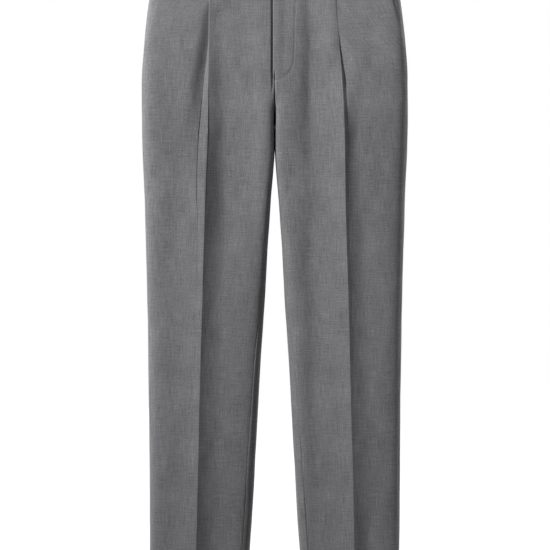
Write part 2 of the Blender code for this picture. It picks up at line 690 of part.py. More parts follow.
def make_button(parent):
    """Round sew-through button with a rim, facing out from the left half of the band."""
    ring = Ring(0.0)
    length = ring.at_front_x(BUTTON_X)
    nx, ny = ring.normal(length)
    lean = Ring(BAND_BOTTOM).point(length, 0)[1] - Ring(BAND_TOP).point(length, 0)[1]
    outward = Vector((nx, ny, lean / (BAND_TOP - BAND_BOTTOM) * ny)).normalized()
    back = BAND_PROUD + BAND_WALL / 2 + BUTTON_STAND
    mesh = bpy.data.meshes.new("waistband_button")
    work = bmesh.new()
    corners = []
    for radius, height in BUTTON:
        corners.append(work.verts.new((radius * BUTTON_RADIUS, 0.0, height * BUTTON_THICK)))
    edges = [work.edges.new(pair) for pair in zip(corners, corners[1:])]
    bmesh.ops.spin(work, geom=corners + edges, axis=(0, 0, 1), cent=(0, 0, 0),
                   steps=BUTTON_SIDES, angle=2 * math.pi)
    bmesh.ops.remove_doubles(work, verts=work.verts, dist=1e-6)
    bmesh.ops.recalc_face_normals(work, faces=work.faces)
    work.to_mesh(mesh)
    work.free()
    button = add_object("waistband_button", mesh, HORN, parent)
    button.location = ring.point(length, back)[:3]
    button.rotation_euler = outward.to_track_quat("Z", "Y").to_euler()
    drill = make_button_drill(button)
    cut = button.modifiers.new("holes", "BOOLEAN")
    cut.operation = "DIFFERENCE"
    cut.solver = "EXACT"
    cut.object = drill


def make_button_drill(button):
    """Cutter for the four thread holes."""
    mesh = bpy.data.meshes.new("button_drill")
    work = bmesh.new()
    for k in range(4):
        angle = math.pi / 4 + k * math.pi / 2
        centre = Matrix.Translation((BUTTON_HOLE_RING * math.cos(angle),
                                     BUTTON_HOLE_RING * math.sin(angle), BUTTON_THICK / 2))
        bmesh.ops.create_cone(work, cap_ends=True, segments=HOLE_SIDES, radius1=BUTTON_HOLE,
                              radius2=BUTTON_HOLE, depth=3 * BUTTON_THICK, matrix=centre)
    work.to_mesh(mesh)
    work.free()
    drill = bpy.data.objects.new("button_drill", mesh)
    bpy.context.scene.collection.objects.link(drill)
    drill.parent = button
    drill.hide_render = True
    drill.display_type = "WIRE"
    return drill


def main():
    """Clear the scene and make the trousers."""
    for item in list(bpy.data.objects):
        bpy.data.objects.remove(item, do_unlink=True)
    trousers = bpy.data.objects.new("trousers", None)
    bpy.context.scene.collection.objects.link(trousers)
    make_fronts(trousers)
    make_backs(trousers)
    make_waistband(trousers)
    make_pocket_facings(trousers)
    make_fly_pieces(trousers)
    make_zip(trousers)
    make_button(trousers)
    bpy.context.view_layer.update()


if __name__ == "__main__":
    main()
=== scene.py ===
"""Pleated dress trousers in heather grey wool, filled out as if worn.

The cloth lies on one surface: two round legs that grow together into one body above the fork.
Each half is worked out as the wearer's left (+X) and mirrored for the right.  Every panel is a
thin closed shell on that surface, with its pleat, pressed crease and soft folds, and its grain
in a UV map of real metres.  Metres, the front at -Y, +Z up, the origin in the waistband ring.
"""
from collections import namedtuple
from functools import lru_cache
import math

import bmesh
import bpy
from mathutils import Matrix, Vector
import numpy as np


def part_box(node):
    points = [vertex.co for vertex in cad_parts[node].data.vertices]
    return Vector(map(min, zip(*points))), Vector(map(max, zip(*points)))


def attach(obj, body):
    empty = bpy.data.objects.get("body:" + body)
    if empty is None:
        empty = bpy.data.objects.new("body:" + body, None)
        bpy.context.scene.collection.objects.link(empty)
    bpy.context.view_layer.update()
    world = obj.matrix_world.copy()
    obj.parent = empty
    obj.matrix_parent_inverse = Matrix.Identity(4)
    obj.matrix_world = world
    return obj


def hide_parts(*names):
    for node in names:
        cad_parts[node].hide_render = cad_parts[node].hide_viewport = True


bl_info = {
    "name": "Pleated Dress Trousers",
    "version": (1, 0, 0),
    "blender": (4, 5, 0),
    "location": "3D View > Sidebar > Trousers",
    "description": "Makes pleated wool trousers, filled out with no wearer, and a plain studio",
    "category": "Add Mesh",
}

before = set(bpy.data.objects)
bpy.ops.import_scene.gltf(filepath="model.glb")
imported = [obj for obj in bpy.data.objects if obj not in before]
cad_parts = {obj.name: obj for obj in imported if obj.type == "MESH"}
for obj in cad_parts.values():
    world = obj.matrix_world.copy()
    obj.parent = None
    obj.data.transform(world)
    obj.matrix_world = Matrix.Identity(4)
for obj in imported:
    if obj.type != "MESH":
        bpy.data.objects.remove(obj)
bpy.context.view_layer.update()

BAND_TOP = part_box("waistband_left")[1].z
BAND_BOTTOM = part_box("waistband_left")[0].z
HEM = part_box("front_left")[0].z

# Driving dimensions
CLOTH = 0.0010             # one layer of the wool
GAP = 0.0003               # air between layers that lie on each other
SEAM_LAP = 0.0006          # how far two sewn edges reach past each other
PANEL_TOP = BAND_BOTTOM + SEAM_LAP    # top of the fronts and backs, in the waistband seam
FORK = -0.255              # the crotch point, where the four legs of cloth meet
RISE = {"front": 3.5, "back": 2.0}    # how late the front and back dip in to the fork
RISE_FOOT = 1.45           # and how gently they arrive there
RISE_ROUND = {"front": 2.6, "back": 2.2}    # how round the fork is between the legs

BAND_WALL = 0.0024         # waistband: two layers and its interlining
BAND_PROUD = 0.0005        # its middle outside the cloth's
BAND_UNDERLAP = 0.038      # right half behind the left one
BAND_SINK = 0.0027         # how deep it lies behind there
BAND_SWELL = 0.4           # share of the cloth's unevenness that it shows

POCKET_END = -0.155        # where the slanted pocket mouth reaches the side seam
POCKET_FORWARD = 0.062     # mouth in front of the side seam at the waist
POCKET_UNDER = 0.024       # facing hidden behind the mouth
POCKET_TUCK = 0.005        # how far it goes up behind the waistband
POCKET_SINK = 0.0019       # how deep it lies behind the front
POCKET_DROP = 0.6          # share of what shows over which the facing sinks
POCKET_MERGE = 0.010       # width of the mouth below which it lies sunk all over

FLY_END = -0.184           # foot of the fly
FLY_CLOSE = 0.018          # height over which the lap runs out below it
FLY_LAP = 0.002            # left front past the middle
FLY_UNDERLAP = 0.003       # right front past the middle, below the left
FLY_SINK = 0.0018          # how far the right front lies below the left one there
FLY_SINK_FOOT = 0.030      # height over which it comes up again below the fly
LAP_HOLD = 0.004           # what lies under the left half keeps its depth this far from the middle
LAP_FADE = 0.030           # and comes up over this width
FOLD_CLEAR = 0.034         # width beside it over which the soft folds run out
MIDDLE_ZONE = 0.050        # width beside the middle on which the lapped pieces lie
MIDDLE_ROUND = 0.020       # rounding of the groove between the halves there

FLY_STITCH_TOP = 0.0350    # seam of the fly from the middle, at the waist
FLY_STITCH_LOW = 0.0311    # and where it starts to curve in
FLY_STITCH_TURN = -0.148
FLY_STITCH_START = 0.002   # below the waistband
FLY_STRAIGHT_POINTS = 40
FLY_CURVE_POINTS = 30
FLY_GROOVE = 0.00045       # how deep its stitches pull the cloth in
FLY_GROOVE_WIDTH = 0.0011
FLY_PUFF = 0.00035         # cloth raised over the facing, inside the seam
FLY_PUFF_EDGE = 0.004
FLY_CREVICE = 0.0038       # right front pulled in beside the fly's folded edge
FLY_CREVICE_X = 0.0036
FLY_CREVICE_WIDTH = 0.0019
CROTCH_GROOVE = 0.0042     # valley between the halves from the fly's foot to the fork
CROTCH_GROOVE_WIDTH = 0.0013
CROTCH_UNDERLAP = 0.0013   # right front past the middle at its bottom, below the left
CROTCH_SINK = 0.0014
CROTCH_SINK_END = 1.2      # widths of the valley from the middle at which it has come up
FLY_ROLL = 0.0012          # folded edge standing up along the fly
FLY_ROLL_FLAT = 0.006      # how wide it is, and the slope beside it
FLY_ROLL_SLOPE = 0.012

FOLD_RADIUS = 0.00065      # middle of the cloth round a sharp fold
TUCK_FULL = 0.006          # a valley this far behind the crease makes three full layers
LAYER_HOLD = 0.002         # the top layer leaves the lower ones this far past the tucked fold
LAYER_FADE = 0.025         # and meets the ring over this width
BACK_REACH = 0.0060        # cloth over which the sharp part of the back crease fades
BACK_BROAD = 0.022         # and its broad part
BACK_SHARE = 0.34

BACK_CREASE = 0.0060       # pressed crease of the backs, below the seat only
BACK_CREASE_TOP = -0.270
BACK_CREASE_FULL = -0.420
BACK_CREASE_BEARING = -86
BACK_FOLDS_END = -20       # bearing beyond which the backs have no soft folds
DARTS = ((0.056, 0.105), (0.102, 0.088))    # back darts: distance from the middle, and length
DART_DEPTH = 0.0009
DART_WIDTH = 0.0016
DART_LEAN = 0.004          # how far its point leans to the side
DART_FADE = 0.006          # height over which it is pressed flat under the waistband

SEAM_ROLL = 0.0007         # cloth turned in along its seams
SEAM_REACH = 0.0026
TURN_UP = 0.040            # hem turned up inside
TURN_UP_WALL = 0.0009
THIN_EDGE = 0.15           # share of its wall that the cloth keeps at a rounded edge

# Grids
SAMPLES = 640              # points of each lobe before it is measured
OUTLINE_SPAN = 0.001       # and no further apart than this
NORMAL_STEP = 0.0010
TURN = 360                 # degrees
HALF_TURN = 180
FRONT_REPEAT = 120         # bearings of the front past this come again before the back's
FOLD_POINTS = 8            # round each fold of a pleat
SLOPE_POINTS = 6           # and from one fold to the other
FRONT_COLUMNS = 30         # even columns on each side of a front's crease
VALLEY_COLUMNS = 18        # and where it turns in to the valley
BACK_COLUMNS = 34
BAND_COLUMNS = 180
FACING_COLUMNS = 18
STRIP_COLUMNS = 14
FINE_ROWS = (104, 74, 84)             # waist seam to fly foot, to below the fork, to the hem
PLAIN_ROWS = (60, 50, 100)
ROW_STOPS = (-0.190, -0.335)
BAND_ROWS = (9,)
STRIP_ROWS = (47,)
NEAR = (0.0006, 0.0014, 0.0024, 0.0036, 0.0050, 0.0068, 0.0090, 0.0118)    # beside a crease
CORNER = (0.0004, 0.0009, 0.0016)                                          # beside the valley
FAR = (0.0030, 0.0018, 0.0010, 0.0005, 0.0002, 0.0000)                     # beside a seam
FRONT_CREASE_COLUMN = len(NEAR) + FRONT_COLUMNS + len(FAR) + 2 * FOLD_POINTS
BACK_CREASE_COLUMN = len(NEAR) + BACK_COLUMNS + len(FAR)
TURN_IN = 0.0055           # from the middle, where the fronts start to turn in to the valley
TURN_BESIDE = tuple(0.001 * k for k in range(32, 0, -1))    # columns out from there
LEAST_SHARE = 0.001        # of the fly's curve, so that nothing is divided by zero
SHARP_ANGLE = 55           # degrees between faces that shade as an edge
GRAIN = "grain"            # UV map of the cloth, in metres
SIDES = {"left": 1, "right": -1}

# Studio: the key's place is a bearing and a rise in degrees and a distance from the garment
KEY_BEARING = -50
KEY_RISE = 17
KEY_DISTANCE = 6.0
KEY_HEIGHT = -0.09         # height on the garment that it is aimed at
KEY_RADIUS = 0.65
KEY_CONE = 27.0
TOP_RISE = 88
FILL_BEARING = 68
FILL_RISE = 10
BREADTH = 20               # of the top light and the fill
WALL_EDGE = 0.25           # how softly the light from the wall starts at the sides
FLOOR_RADIUS = 12.0
FLOOR_DROP = 0.03          # below the hems

# One row for each height: half width and half depth of the outline, centre in Y, half the gap
# between the legs, squareness of the front, of its inner corner and of the back, and how far the
# outseam and the inseam lie in front of the widest points (degrees).
Section = namedtuple("Section", "height width depth centre gap front inside back outseam inseam")
SECTIONS = tuple(Section(*row) for row in (
    (0.019, 0.1930, 0.0870, 0.000, 0.0002, 12.0, 6.0, 2.1, 0.2, 0),
    (-0.019, 0.2006, 0.0905, 0.001, 0.0002, 14.0, 6.0, 2.1, 0.2, 0),
    (-0.050, 0.2058, 0.0965, 0.004, 0.0002, 15.0, 6.0, 2.1, 0.6, 0),
    (-0.115, 0.2130, 0.1085, 0.010, 0.0002, 14.0, 8.0, 2.2, 8, 0),
    (-0.182, 0.2175, 0.1150, 0.015, 0.0002, 12.0, 14.0, 2.2, 24, 0),
    (-0.220, 0.2180, 0.1155, 0.017, 0.0002, 11.0, 16.0, 2.2, 28, 0),
    (-0.255, 0.2180, 0.1120, 0.017, 0.0002, 10.0, 18.0, 2.2, 28, 0),
    (-0.293, 0.2172, 0.1055, 0.016, 0.0004, 9.5, 18.0, 2.2, 28, 5),
    (-0.379, 0.2138, 0.0930, 0.013, 0.0066, 8.6, 14.0, 2.2, 29, 14),
    (-0.461, 0.2114, 0.0825, 0.011, 0.0122, 8.4, 11.0, 2.2, 29, 26),
    (-0.544, 0.2095, 0.0725, 0.008, 0.0165, 8.0, 8.0, 2.2, 29, 38),
    (-0.643, 0.2078, 0.0620, 0.004, 0.0231, 7.0, 7.5, 2.2, 29, 48),
    (-0.775, 0.2066, 0.0540, 0.003, 0.0305, 6.4, 7.0, 2.2, 28, 52),
    (-0.907, 0.2056, 0.0480, 0.002, 0.0380, 6.0, 6.5, 2.2, 27, 54),
    (-1.022, 0.2050, 0.0435, 0.002, 0.0460, 6.0, 6.5, 2.2, 27, 55),
))

# The front crease, which is also the folded edge of the pleat.  crease is its distance from the
# middle, valley the place of the pleat's inner fold beside it (negative is tucked under), ridge
# how far the crease stands out and dip how deep the valley lies.  inner and outer are the widths
# over which each side comes down to the ring, and soft rounds both.
Pleat = namedtuple("Pleat", "height crease valley ridge dip inner outer soft")
PLEAT_LEFT = tuple(Pleat(*row) for row in (
    (-0.019, 0.0975, -0.030, -0.0004, 0.0000, 0.016, 0.014, 0.0),
    (-0.050, 0.0990, -0.024, -0.0014, 0.0010, 0.014, 0.014, 0.0),
    (-0.082, 0.1012, -0.017, -0.0018, 0.0024, 0.014, 0.012, 0.0),
    (-0.115, 0.1040, -0.008, -0.0020, 0.0040, 0.013, 0.016, 0.0),
    (-0.148, 0.1066, 0.003, -0.0014, 0.0050, 0.012, 0.024, 0.4),
    (-0.182, 0.1094, 0.005, 0.0026, 0.0032, 0.028, 0.020, 0.5),
    (-0.215, 0.1114, 0.006, 0.0072, -0.0024, 0.050, 0.017, 0.5),
    (-0.255, 0.1130, 0.007, 0.0106, -0.0048, 0.056, 0.018, 0.3),
    (-0.280, 0.1138, 0.006, 0.0112, -0.0060, 0.058, 0.018, 0.2),
    (-0.346, 0.1148, 0.006, 0.0110, -0.0066, 0.062, 0.022, 0.0),
    (-0.412, 0.1160, 0.006, 0.0110, -0.0070, 0.066, 0.024, 0.0),
    (-0.544, 0.1205, 0.006, 0.0108, -0.0071, 0.070, 0.026, 0.0),
    (-0.709, 0.1243, 0.006, 0.0106, -0.0073, 0.070, 0.030, 0.0),
    (-0.874, 0.1288, 0.006, 0.0116, -0.0084, 0.066, 0.029, 0.0),
    (-1.022, 0.1312, 0.006, 0.0120, -0.0086, 0.060, 0.025, 0.0),
))
PLEAT_RIGHT = tuple(Pleat(*row) for row in (
    (-0.019, 0.1060, -0.030, 0.0002, 0.0000, 0.016, 0.016, 1.0),
    (-0.050, 0.1062, -0.014, 0.0004, 0.0014, 0.018, 0.016, 0.8),
    (-0.082, 0.1066, -0.002, 0.0008, 0.0040, 0.020, 0.016, 0.7),
    (-0.115, 0.1068, 0.001, 0.0016, 0.0050, 0.022, 0.018, 0.8),
    (-0.148, 0.1072, 0.004, 0.0022, 0.0060, 0.022, 0.021, 1.0),
    (-0.182, 0.1077, 0.008, 0.0020, 0.0052, 0.023, 0.021, 1.0),
    (-0.215, 0.1081, 0.011, 0.0016, 0.0034, 0.024, 0.022, 1.0),
    (-0.248, 0.1085, 0.014, 0.0025, 0.0018, 0.028, 0.024, 0.9),
    (-0.280, 0.1094, 0.016, 0.0046, -0.0006, 0.031, 0.032, 0.5),
    (-0.346, 0.1122, 0.016, 0.0078, -0.0040, 0.037, 0.046, 0.2),
    (-0.412, 0.1146, 0.012, 0.0106, -0.0066, 0.036, 0.048, 0.0),
    (-0.544, 0.1186, 0.010, 0.0112, -0.0078, 0.036, 0.050, 0.0),
    (-0.709, 0.1234, 0.010, 0.0112, -0.0078, 0.035, 0.050, 0.0),
    (-0.874, 0.1270, 0.010, 0.0124, -0.0090, 0.038, 0.050, 0.0),
    (-1.022, 0.1306, 0.010, 0.0130, -0.0096, 0.038, 0.048, 0.0),
))

# Soft troughs, and ridges where depth is negative, on side 1 (left) or -1 (right): the line from
# one end to the other by its distance from the middle and its height, how deep it is there and
# how far it spreads towards the middle and away from it.
Fold = namedtuple("Fold", "side x_top z_top x_foot z_foot depth inward outward")
FOLD_FADE = 1.5            # power by which they fade at their ends
FRONT_FOLDS = tuple(Fold(*row) for row in (
    (1, 0.0590, 0.060, 0.0600, -0.360, 0.0062, 0.0140, 0.0400),
    (1, 0.0600, -0.100, 0.0720, -1.100, 0.0046, 0.0190, 0.0400),
    (-1, 0.0830, 0.000, 0.0800, -0.560, 0.0112, 0.0550, 0.0300),
    (1, 0.1500, -0.300, 0.1500, -0.760, 0.0007, 0.0150, 0.0150),
    (1, 0.0900, -0.480, 0.0840, -0.900, -0.0008, 0.0140, 0.0140),
    (-1, 0.1620, -0.210, 0.1560, -0.600, 0.0006, 0.0160, 0.0160),
    (-1, 0.0880, -0.420, 0.0900, -0.820, 0.0007, 0.0130, 0.0130),
    (-1, 0.1780, -0.560, 0.1720, -0.930, -0.0006, 0.0120, 0.0120),
))
BACK_FOLDS = tuple(Fold(*row) for row in (
    (1, 0.026, -0.228, 0.118, -0.276, 0.0026, 0.0100, 0.0100),
    (1, 0.044, -0.268, 0.140, -0.330, 0.0019, 0.0090, 0.0090),
    (1, 0.168, -0.120, 0.150, -0.330, 0.0012, 0.0150, 0.0150),
    (1, 0.056, -0.530, 0.158, -0.548, 0.0016, 0.0085, 0.0085),
    (1, 0.070, -0.572, 0.166, -0.560, 0.0012, 0.0075, 0.0075),
    (1, 0.086, -0.640, 0.080, -0.930, -0.0010, 0.0140, 0.0140),
    (-1, 0.024, -0.236, 0.104, -0.270, 0.0024, 0.0095, 0.0095),
    (-1, 0.050, -0.262, 0.150, -0.318, 0.0021, 0.0095, 0.0095),
    (-1, 0.172, -0.140, 0.156, -0.350, 0.0010, 0.0150, 0.0150),
    (-1, 0.064, -0.540, 0.150, -0.532, 0.0014, 0.0080, 0.0080),
    (-1, 0.058, -0.566, 0.162, -0.582, 0.0013, 0.0080, 0.0080),
    (-1, 0.150, -0.620, 0.152, -0.900, -0.0009, 0.0140, 0.0140),
))

# Slow unevenness of filled-out cloth: height of the swell and its lengths across and down.
# Its pattern turns from one panel to the next and slants a little down the leg.
Swell = namedtuple("Swell", "lift across down turn")
SWELLS = tuple(Swell(*row) for row in (
    (0.00034, 0.083, 0.410, 0.3),
    (0.00026, 0.047, 0.235, 2.1),
    (0.00016, 0.029, 0.121, 4.4),
))
SWELL_SIDE = 1.7           # turn from one side of the garment to the other, in radians
SWELL_BACK = 0.6           # share of a side from a front to its back
SWELL_SLANT = 3.1          # radians for a metre of height

# Flat pieces behind the fly: width at each height, and how deep they lie behind the left front.
Strip = namedtuple("Strip", "height x_from x_to")
SHIELD = (Strip(-0.0193, -0.012, 0.040), Strip(-0.150, -0.012, 0.038), Strip(-0.200, -0.012, 0.012))
SHIELD_DEPTH = 0.0080
TAPE_RIGHT = (Strip(-0.0193, -0.0078, 0.0060), Strip(-0.180, -0.0078, 0.0060))
TAPE_LEFT = (Strip(-0.0193, 0.0088, 0.0220), Strip(-0.180, 0.0088, 0.0220))
TAPE_RIGHT_DEPTH = 0.0068
TAPE_LEFT_DEPTH = 0.0042
TAPE_WALL = 0.0007
CHAIN_X = 0.0074           # middle of the chain from the middle of the garment
CHAIN_DEPTH = 0.0037
CHAIN_POINTS = 90
COIL = (0.0013, 0.0046, 0.0014)       # pitch, width and thickness of its coils

# Outline of the button from its middle outwards and round to its back: shares of its radius and
# of its thickness.
Turned = namedtuple("Turned", "radius height")
BUTTON = tuple(Turned(*row) for row in (
    (0.00, 0.70),
    (0.56, 0.70),
    (0.68, 0.76),
    (0.78, 0.93),
    (0.84, 0.99),
    (0.90, 0.97),
    (0.96, 0.86),
    (1.00, 0.66),
    (0.99, 0.44),
    (0.94, 0.18),
    (0.86, 0.03),
    (0.80, 0.00),
    (0.00, 0.00),
))
BUTTON_RADIUS = 0.0078
BUTTON_THICK = 0.0034
BUTTON_X = 0.015
BUTTON_STAND = 0.00045     # air behind it
BUTTON_HOLE = 0.0010
BUTTON_HOLE_RING = 0.0019  # holes from the middle
BUTTON_STEPS = 64          # round it
HOLE_STEPS = 20            # round each hole
THREADS_OVER = (0.6, 1.7)  # how high its two threads lie over it, in thicknesses of thread
THREAD_BEND = 0.6          # share of a hole's distance at which they bend on to it
BUTTON_STITCH = (0.0004, 0.0013)      # pitch and length of the stitches that draw them
BUTTON_THREAD = 1.7        # how thick they are, in thicknesses of the seam's thread
BUTTONHOLE = (0.012, 0.031)           # from and to, from the middle of the garment
BUTTONHOLE_POINTS = 24
BUTTONHOLE_BEAD = 0.0021   # width of its stitched edge on each side
BUTTONHOLE_LIFT = 0.0001
BEAD_PITCH = 1.3           # of the bead's stitches, and their thickness, in threads
BEAD_THREAD = 1.2
BEAD_LENGTH = 0.9          # share of the bead's width
SLIT_SHADE_STITCH = (0.0008, 0.0014)        # pitch and length of the near-black thread that paints the shade inside the slit


# Small numeric helpers

@lru_cache(maxsize=None)
def knots(rows, name):
    """Heights, values and tangents of one column of a table, for a curve without overshoot."""
    heights = np.array([-row.height for row in rows])
    values = np.array([float(getattr(row, name)) for row in rows])
    slopes = np.diff(values) / np.diff(heights)
    tangents = np.zeros(len(values))
    tangents[0] = slopes[0]
    tangents[-1] = slopes[-1]
    for k in range(1, len(values) - 1):
        if slopes[k - 1] * slopes[k] > 0:
            tangents[k] = 2 * slopes[k - 1] * slopes[k] / (slopes[k - 1] + slopes[k])
    return heights, values, tangents


def column(rows, name, height):
    """Smooth value of one column of a table at a height."""
    heights, values, tangents = knots(rows, name)
    at = min(max(-height, heights[0]), heights[-1])
    k = min(int(np.searchsorted(heights, at, side="right")) - 1, len(heights) - 2)
    step = heights[k + 1] - heights[k]
    t = (at - heights[k]) / step
    rise = (2 * t ** 3 - 3 * t ** 2 + 1) * values[k] + (3 * t ** 2 - 2 * t ** 3) * values[k + 1]
    lean = (t ** 3 - 2 * t ** 2 + t) * tangents[k] + (t ** 3 - t ** 2) * tangents[k + 1]
    return float(rise + lean * step)


def ease(t):
    """0 to 1 with flat ends."""
    t = np.clip(t, 0.0, 1.0)
    return t * t * (3 - 2 * t)


def spaced(total, near, middle, far):
    """Distances from 0 to a total: set ones near both its ends and even ones between."""
    first = np.concatenate(([0.0], near))
    last = total - np.array(far)
    between = np.linspace(first[-1], last[0], middle + 2)[1:-1]
    return np.concatenate((first, between, last))


def run_of(points):
    """Length along a path at each of its points."""
    return np.concatenate(([0.0], np.cumsum(np.linalg.norm(np.diff(points, axis=0), axis=1))))


def wall_heights(top, foot, counts, stops=()):
    """Rows of a panel from its top to its foot: a few beside each edge, even ones between stops."""
    edges = np.array(FAR)
    stops = (top - FAR[0], *stops, foot + FAR[0])
    heights = list(top - edges[:0:-1])
    for k, count in enumerate(counts):
        heights += list(np.linspace(stops[k], stops[k + 1], count, endpoint=False))
    return heights + list(foot + edges)


# The surface

def lobe(height, face):
    """Front or back half of one leg's section: rows of bearing, x and y.

    It starts at the widest point, at bearing 0, and ends at the middle of the garment, or below
    the fork at the innermost point of the leg, at bearing 180.
    """
    width = column(SECTIONS, "width", height) - CLOTH / 2
    depth = column(SECTIONS, "depth", height) - CLOTH / 2
    centre_y = column(SECTIONS, "centre", height)
    power = column(SECTIONS, face, height)
    inner = column(SECTIONS, "gap", height) + CLOTH / 2
    drop = min(max((BAND_BOTTOM - height) / (BAND_BOTTOM - FORK), 0.0), 1.0)
    inside = column(SECTIONS, "inside" if face == "front" else "back", height)
    risen = 1 - (1 - drop ** RISE[face]) ** RISE_FOOT
    left = (1 - risen ** RISE_ROUND[face]) ** (1 / RISE_ROUND[face])
    parted = (1 - left ** inside) ** (1 / inside)
    half = (width - inner * parted) / (1 + parted)
    end = math.acos(-min(width / half - 1, 1.0) ** (inside / 2))
    facing = -1 if face == "front" else 1
    angles = np.linspace(0.0, end, SAMPLES + 1)
    across = np.cos(angles)
    roundness = np.where(across < 0, 2 / inside, 2 / power)
    x = width - half + half * np.sign(across) * np.abs(across) ** roundness
    y = centre_y + facing * depth * np.abs(np.sin(angles)) ** roundness
    return filled_in(np.column_stack((np.degrees(angles), x, y)))


def filled_in(rows):
    """The same outline with points no further apart than the span."""
    along = run_of(rows[:, 1:])
    finer = np.union1d(along, np.arange(0.0, along[-1], OUTLINE_SPAN))
    return np.column_stack([np.interp(finer, along, rows[:, k]) for k in range(3)])


def round_middle(rows, height):
    """Round off the groove at the front middle and run the section on past it."""
    soft = MIDDLE_ROUND * min(max((height - FORK) / (FLY_END - FORK), 0.0), 1.0) ** 2
    near = rows[rows[:, 1] < MIDDLE_ZONE]
    fade = 1 - ease(near[:, 1] / MIDDLE_ZONE)
    ascending = rows[::-1]
    ys = np.interp(np.hypot(near[:, 1], soft * fade), ascending[:, 1], ascending[:, 2])
    rounded = np.column_stack((near[:, 0], near[:, 1], ys))
    past = rounded[-2::-1] * (-1, -1, 1) + (TURN, 0, 0)
    return np.vstack((rows[rows[:, 1] >= MIDDLE_ZONE], rounded, past))


class Ring:
    """Section of the left half at a height, measured along the middle of the cloth.

    Lengths and bearings run from the back middle, round the outside, to the front middle.
    """

    def __init__(self, height):
        self.height = height
        front = lobe(height, "front")
        back = lobe(height, "back")[::-1] * (-1, 1, 1)
        if height <= FORK:
            wrapped = front[front[:, 0] > FRONT_REPEAT] - (TURN, 0, 0)
            rows = np.vstack((wrapped[:-1], back[:-1], front))
        else:
            rows = np.vstack((back[:-1], round_middle(front, height)))
        self.bearings = rows[:, 0]
        self.points = rows[:, 1:]
        self.lengths = run_of(self.points)

    def at_bearing(self, degrees):
        """Length at a bearing."""
        return float(np.interp(degrees, self.bearings, self.lengths))

    def at_front_x(self, x):
        """Length at which the front passes x."""
        front = self.bearings >= 0
        return float(np.interp(-x, -self.points[front, 0], self.lengths[front]))

    def at_back_x(self, x):
        """Length at which the back passes x, above the fork."""
        back = self.bearings <= 0
        return float(np.interp(x, self.points[back, 0], self.lengths[back]))

    def places(self, lengths):
        """Places in plan at some lengths: their x, and their y."""
        return np.array([np.interp(lengths, self.lengths, self.points[:, k]) for k in (0, 1)])

    def x_at(self, lengths):
        """Distance from the middle at some lengths."""
        return self.places(lengths)[0]

    def normals(self, lengths):
        """Outward directions in plan."""
        before, after = (np.clip(lengths + step, 0.0, self.lengths[-1])
                         for step in (-NORMAL_STEP, NORMAL_STEP))
        along = self.places(after) - self.places(before)
        along /= np.hypot(*along)
        return -along[1], along[0]

    def points_at(self, lengths, lifts):
        """Points at some lengths, lifted outwards off the ring, with the directions in plan."""
        lengths = np.asarray(lengths, dtype=float)
        x, y = self.places(lengths)
        nx, ny = self.normals(lengths)
        z = np.full(len(x), self.height)
        return np.column_stack((x + lifts * nx, y + lifts * ny, z, nx, ny))


@lru_cache(maxsize=None)
def ring_at(height):
    """Section at a height, worked out once."""
    return Ring(height)


def middle_edge(ring, at_x):
    """Length of a seam edge at the middle, so that the wall reaches half the lap past it."""
    nx, _ = ring.normals(np.array([at_x(CLOTH)]))
    return at_x(CLOTH / 2 * abs(float(nx[0])) - SEAM_LAP / 2)


# What lies on the surface

def fold_lift(folds, side, x, height):
    """Lift of the soft folds at places on a panel."""
    lift = np.zeros_like(x)
    for fold in folds:
        if fold.side != side:
            continue
        run = np.array((fold.x_foot - fold.x_top, fold.z_foot - fold.z_top))
        size = np.linalg.norm(run)
        run /= size
        part = ((x - fold.x_top) * run[0] + (height - fold.z_top) * run[1]) / size
        beside = (x - fold.x_top) * run[1] - (height - fold.z_top) * run[0]
        shown = np.sin(math.pi * np.clip(part, 0.0, 1.0)) ** FOLD_FADE
        spread = np.where(beside > 0, fold.inward, fold.outward)
        lift -= fold.depth * shown * np.exp(-(beside / spread) ** 2)
    return lift * ease((x - LAP_HOLD) / FOLD_CLEAR)


def swell_lift(side, along, height):
    """Slow unevenness of the cloth, different on each side."""
    lift = np.zeros_like(along)
    for swell in SWELLS:
        phase = swell.turn + SWELL_SIDE * side
        across = np.sin(2 * math.pi * along / swell.across + phase + SWELL_SLANT * height)
        lift += swell.lift * across * math.sin(2 * math.pi * height / swell.down + 2 * phase)
    return lift


def seam_lift(away):
    """Cloth turned in along a seam, by its distance from the seam."""
    return -SEAM_ROLL * np.clip(1 - away / SEAM_REACH, 0.0, 1.0) ** 2


def edge_share(away, wall):
    """Share of the wall left beside a rounded edge."""
    round_off = np.clip(1 - away / (wall / 2), 0.0, 1.0)
    return np.maximum(np.sqrt(1 - round_off ** 2), THIN_EDGE)


def flank(away, width, soft):
    """Share of a crease's height left at a distance beside it: steepest at the crease, or soft."""
    left = np.clip(1 - away / width, 0.0, 1.0)
    return left ** 2 * (1 - soft) + ease(left) * soft


def back_flank(away):
    """Share of the back crease's height left at a distance beside it."""
    return (1 - BACK_SHARE) * np.exp(-away / BACK_REACH) + BACK_SHARE * np.exp(-away / BACK_BROAD)


def fly_seam_side(x, height):
    """Distance from the fly's curved seam, negative inside it."""
    if height > FLY_STITCH_TURN:
        part = (height - FLY_STITCH_TURN) / (BAND_BOTTOM - FLY_STITCH_TURN)
        return x - (FLY_STITCH_LOW + (FLY_STITCH_TOP - FLY_STITCH_LOW) * part)
    down = height - FLY_STITCH_TURN
    share = np.hypot(x / FLY_STITCH_LOW, down / (FLY_STITCH_TURN - FLY_END))
    return (1 - 1 / np.maximum(share, LEAST_SHARE)) * np.hypot(x, down)


# The fronts

def pleat_at(side, height):
    """Sizes of a pleat at a height."""
    rows = PLEAT_LEFT if side > 0 else PLEAT_RIGHT
    return Pleat(height, *(column(rows, name, height) for name in Pleat._fields[1:]))


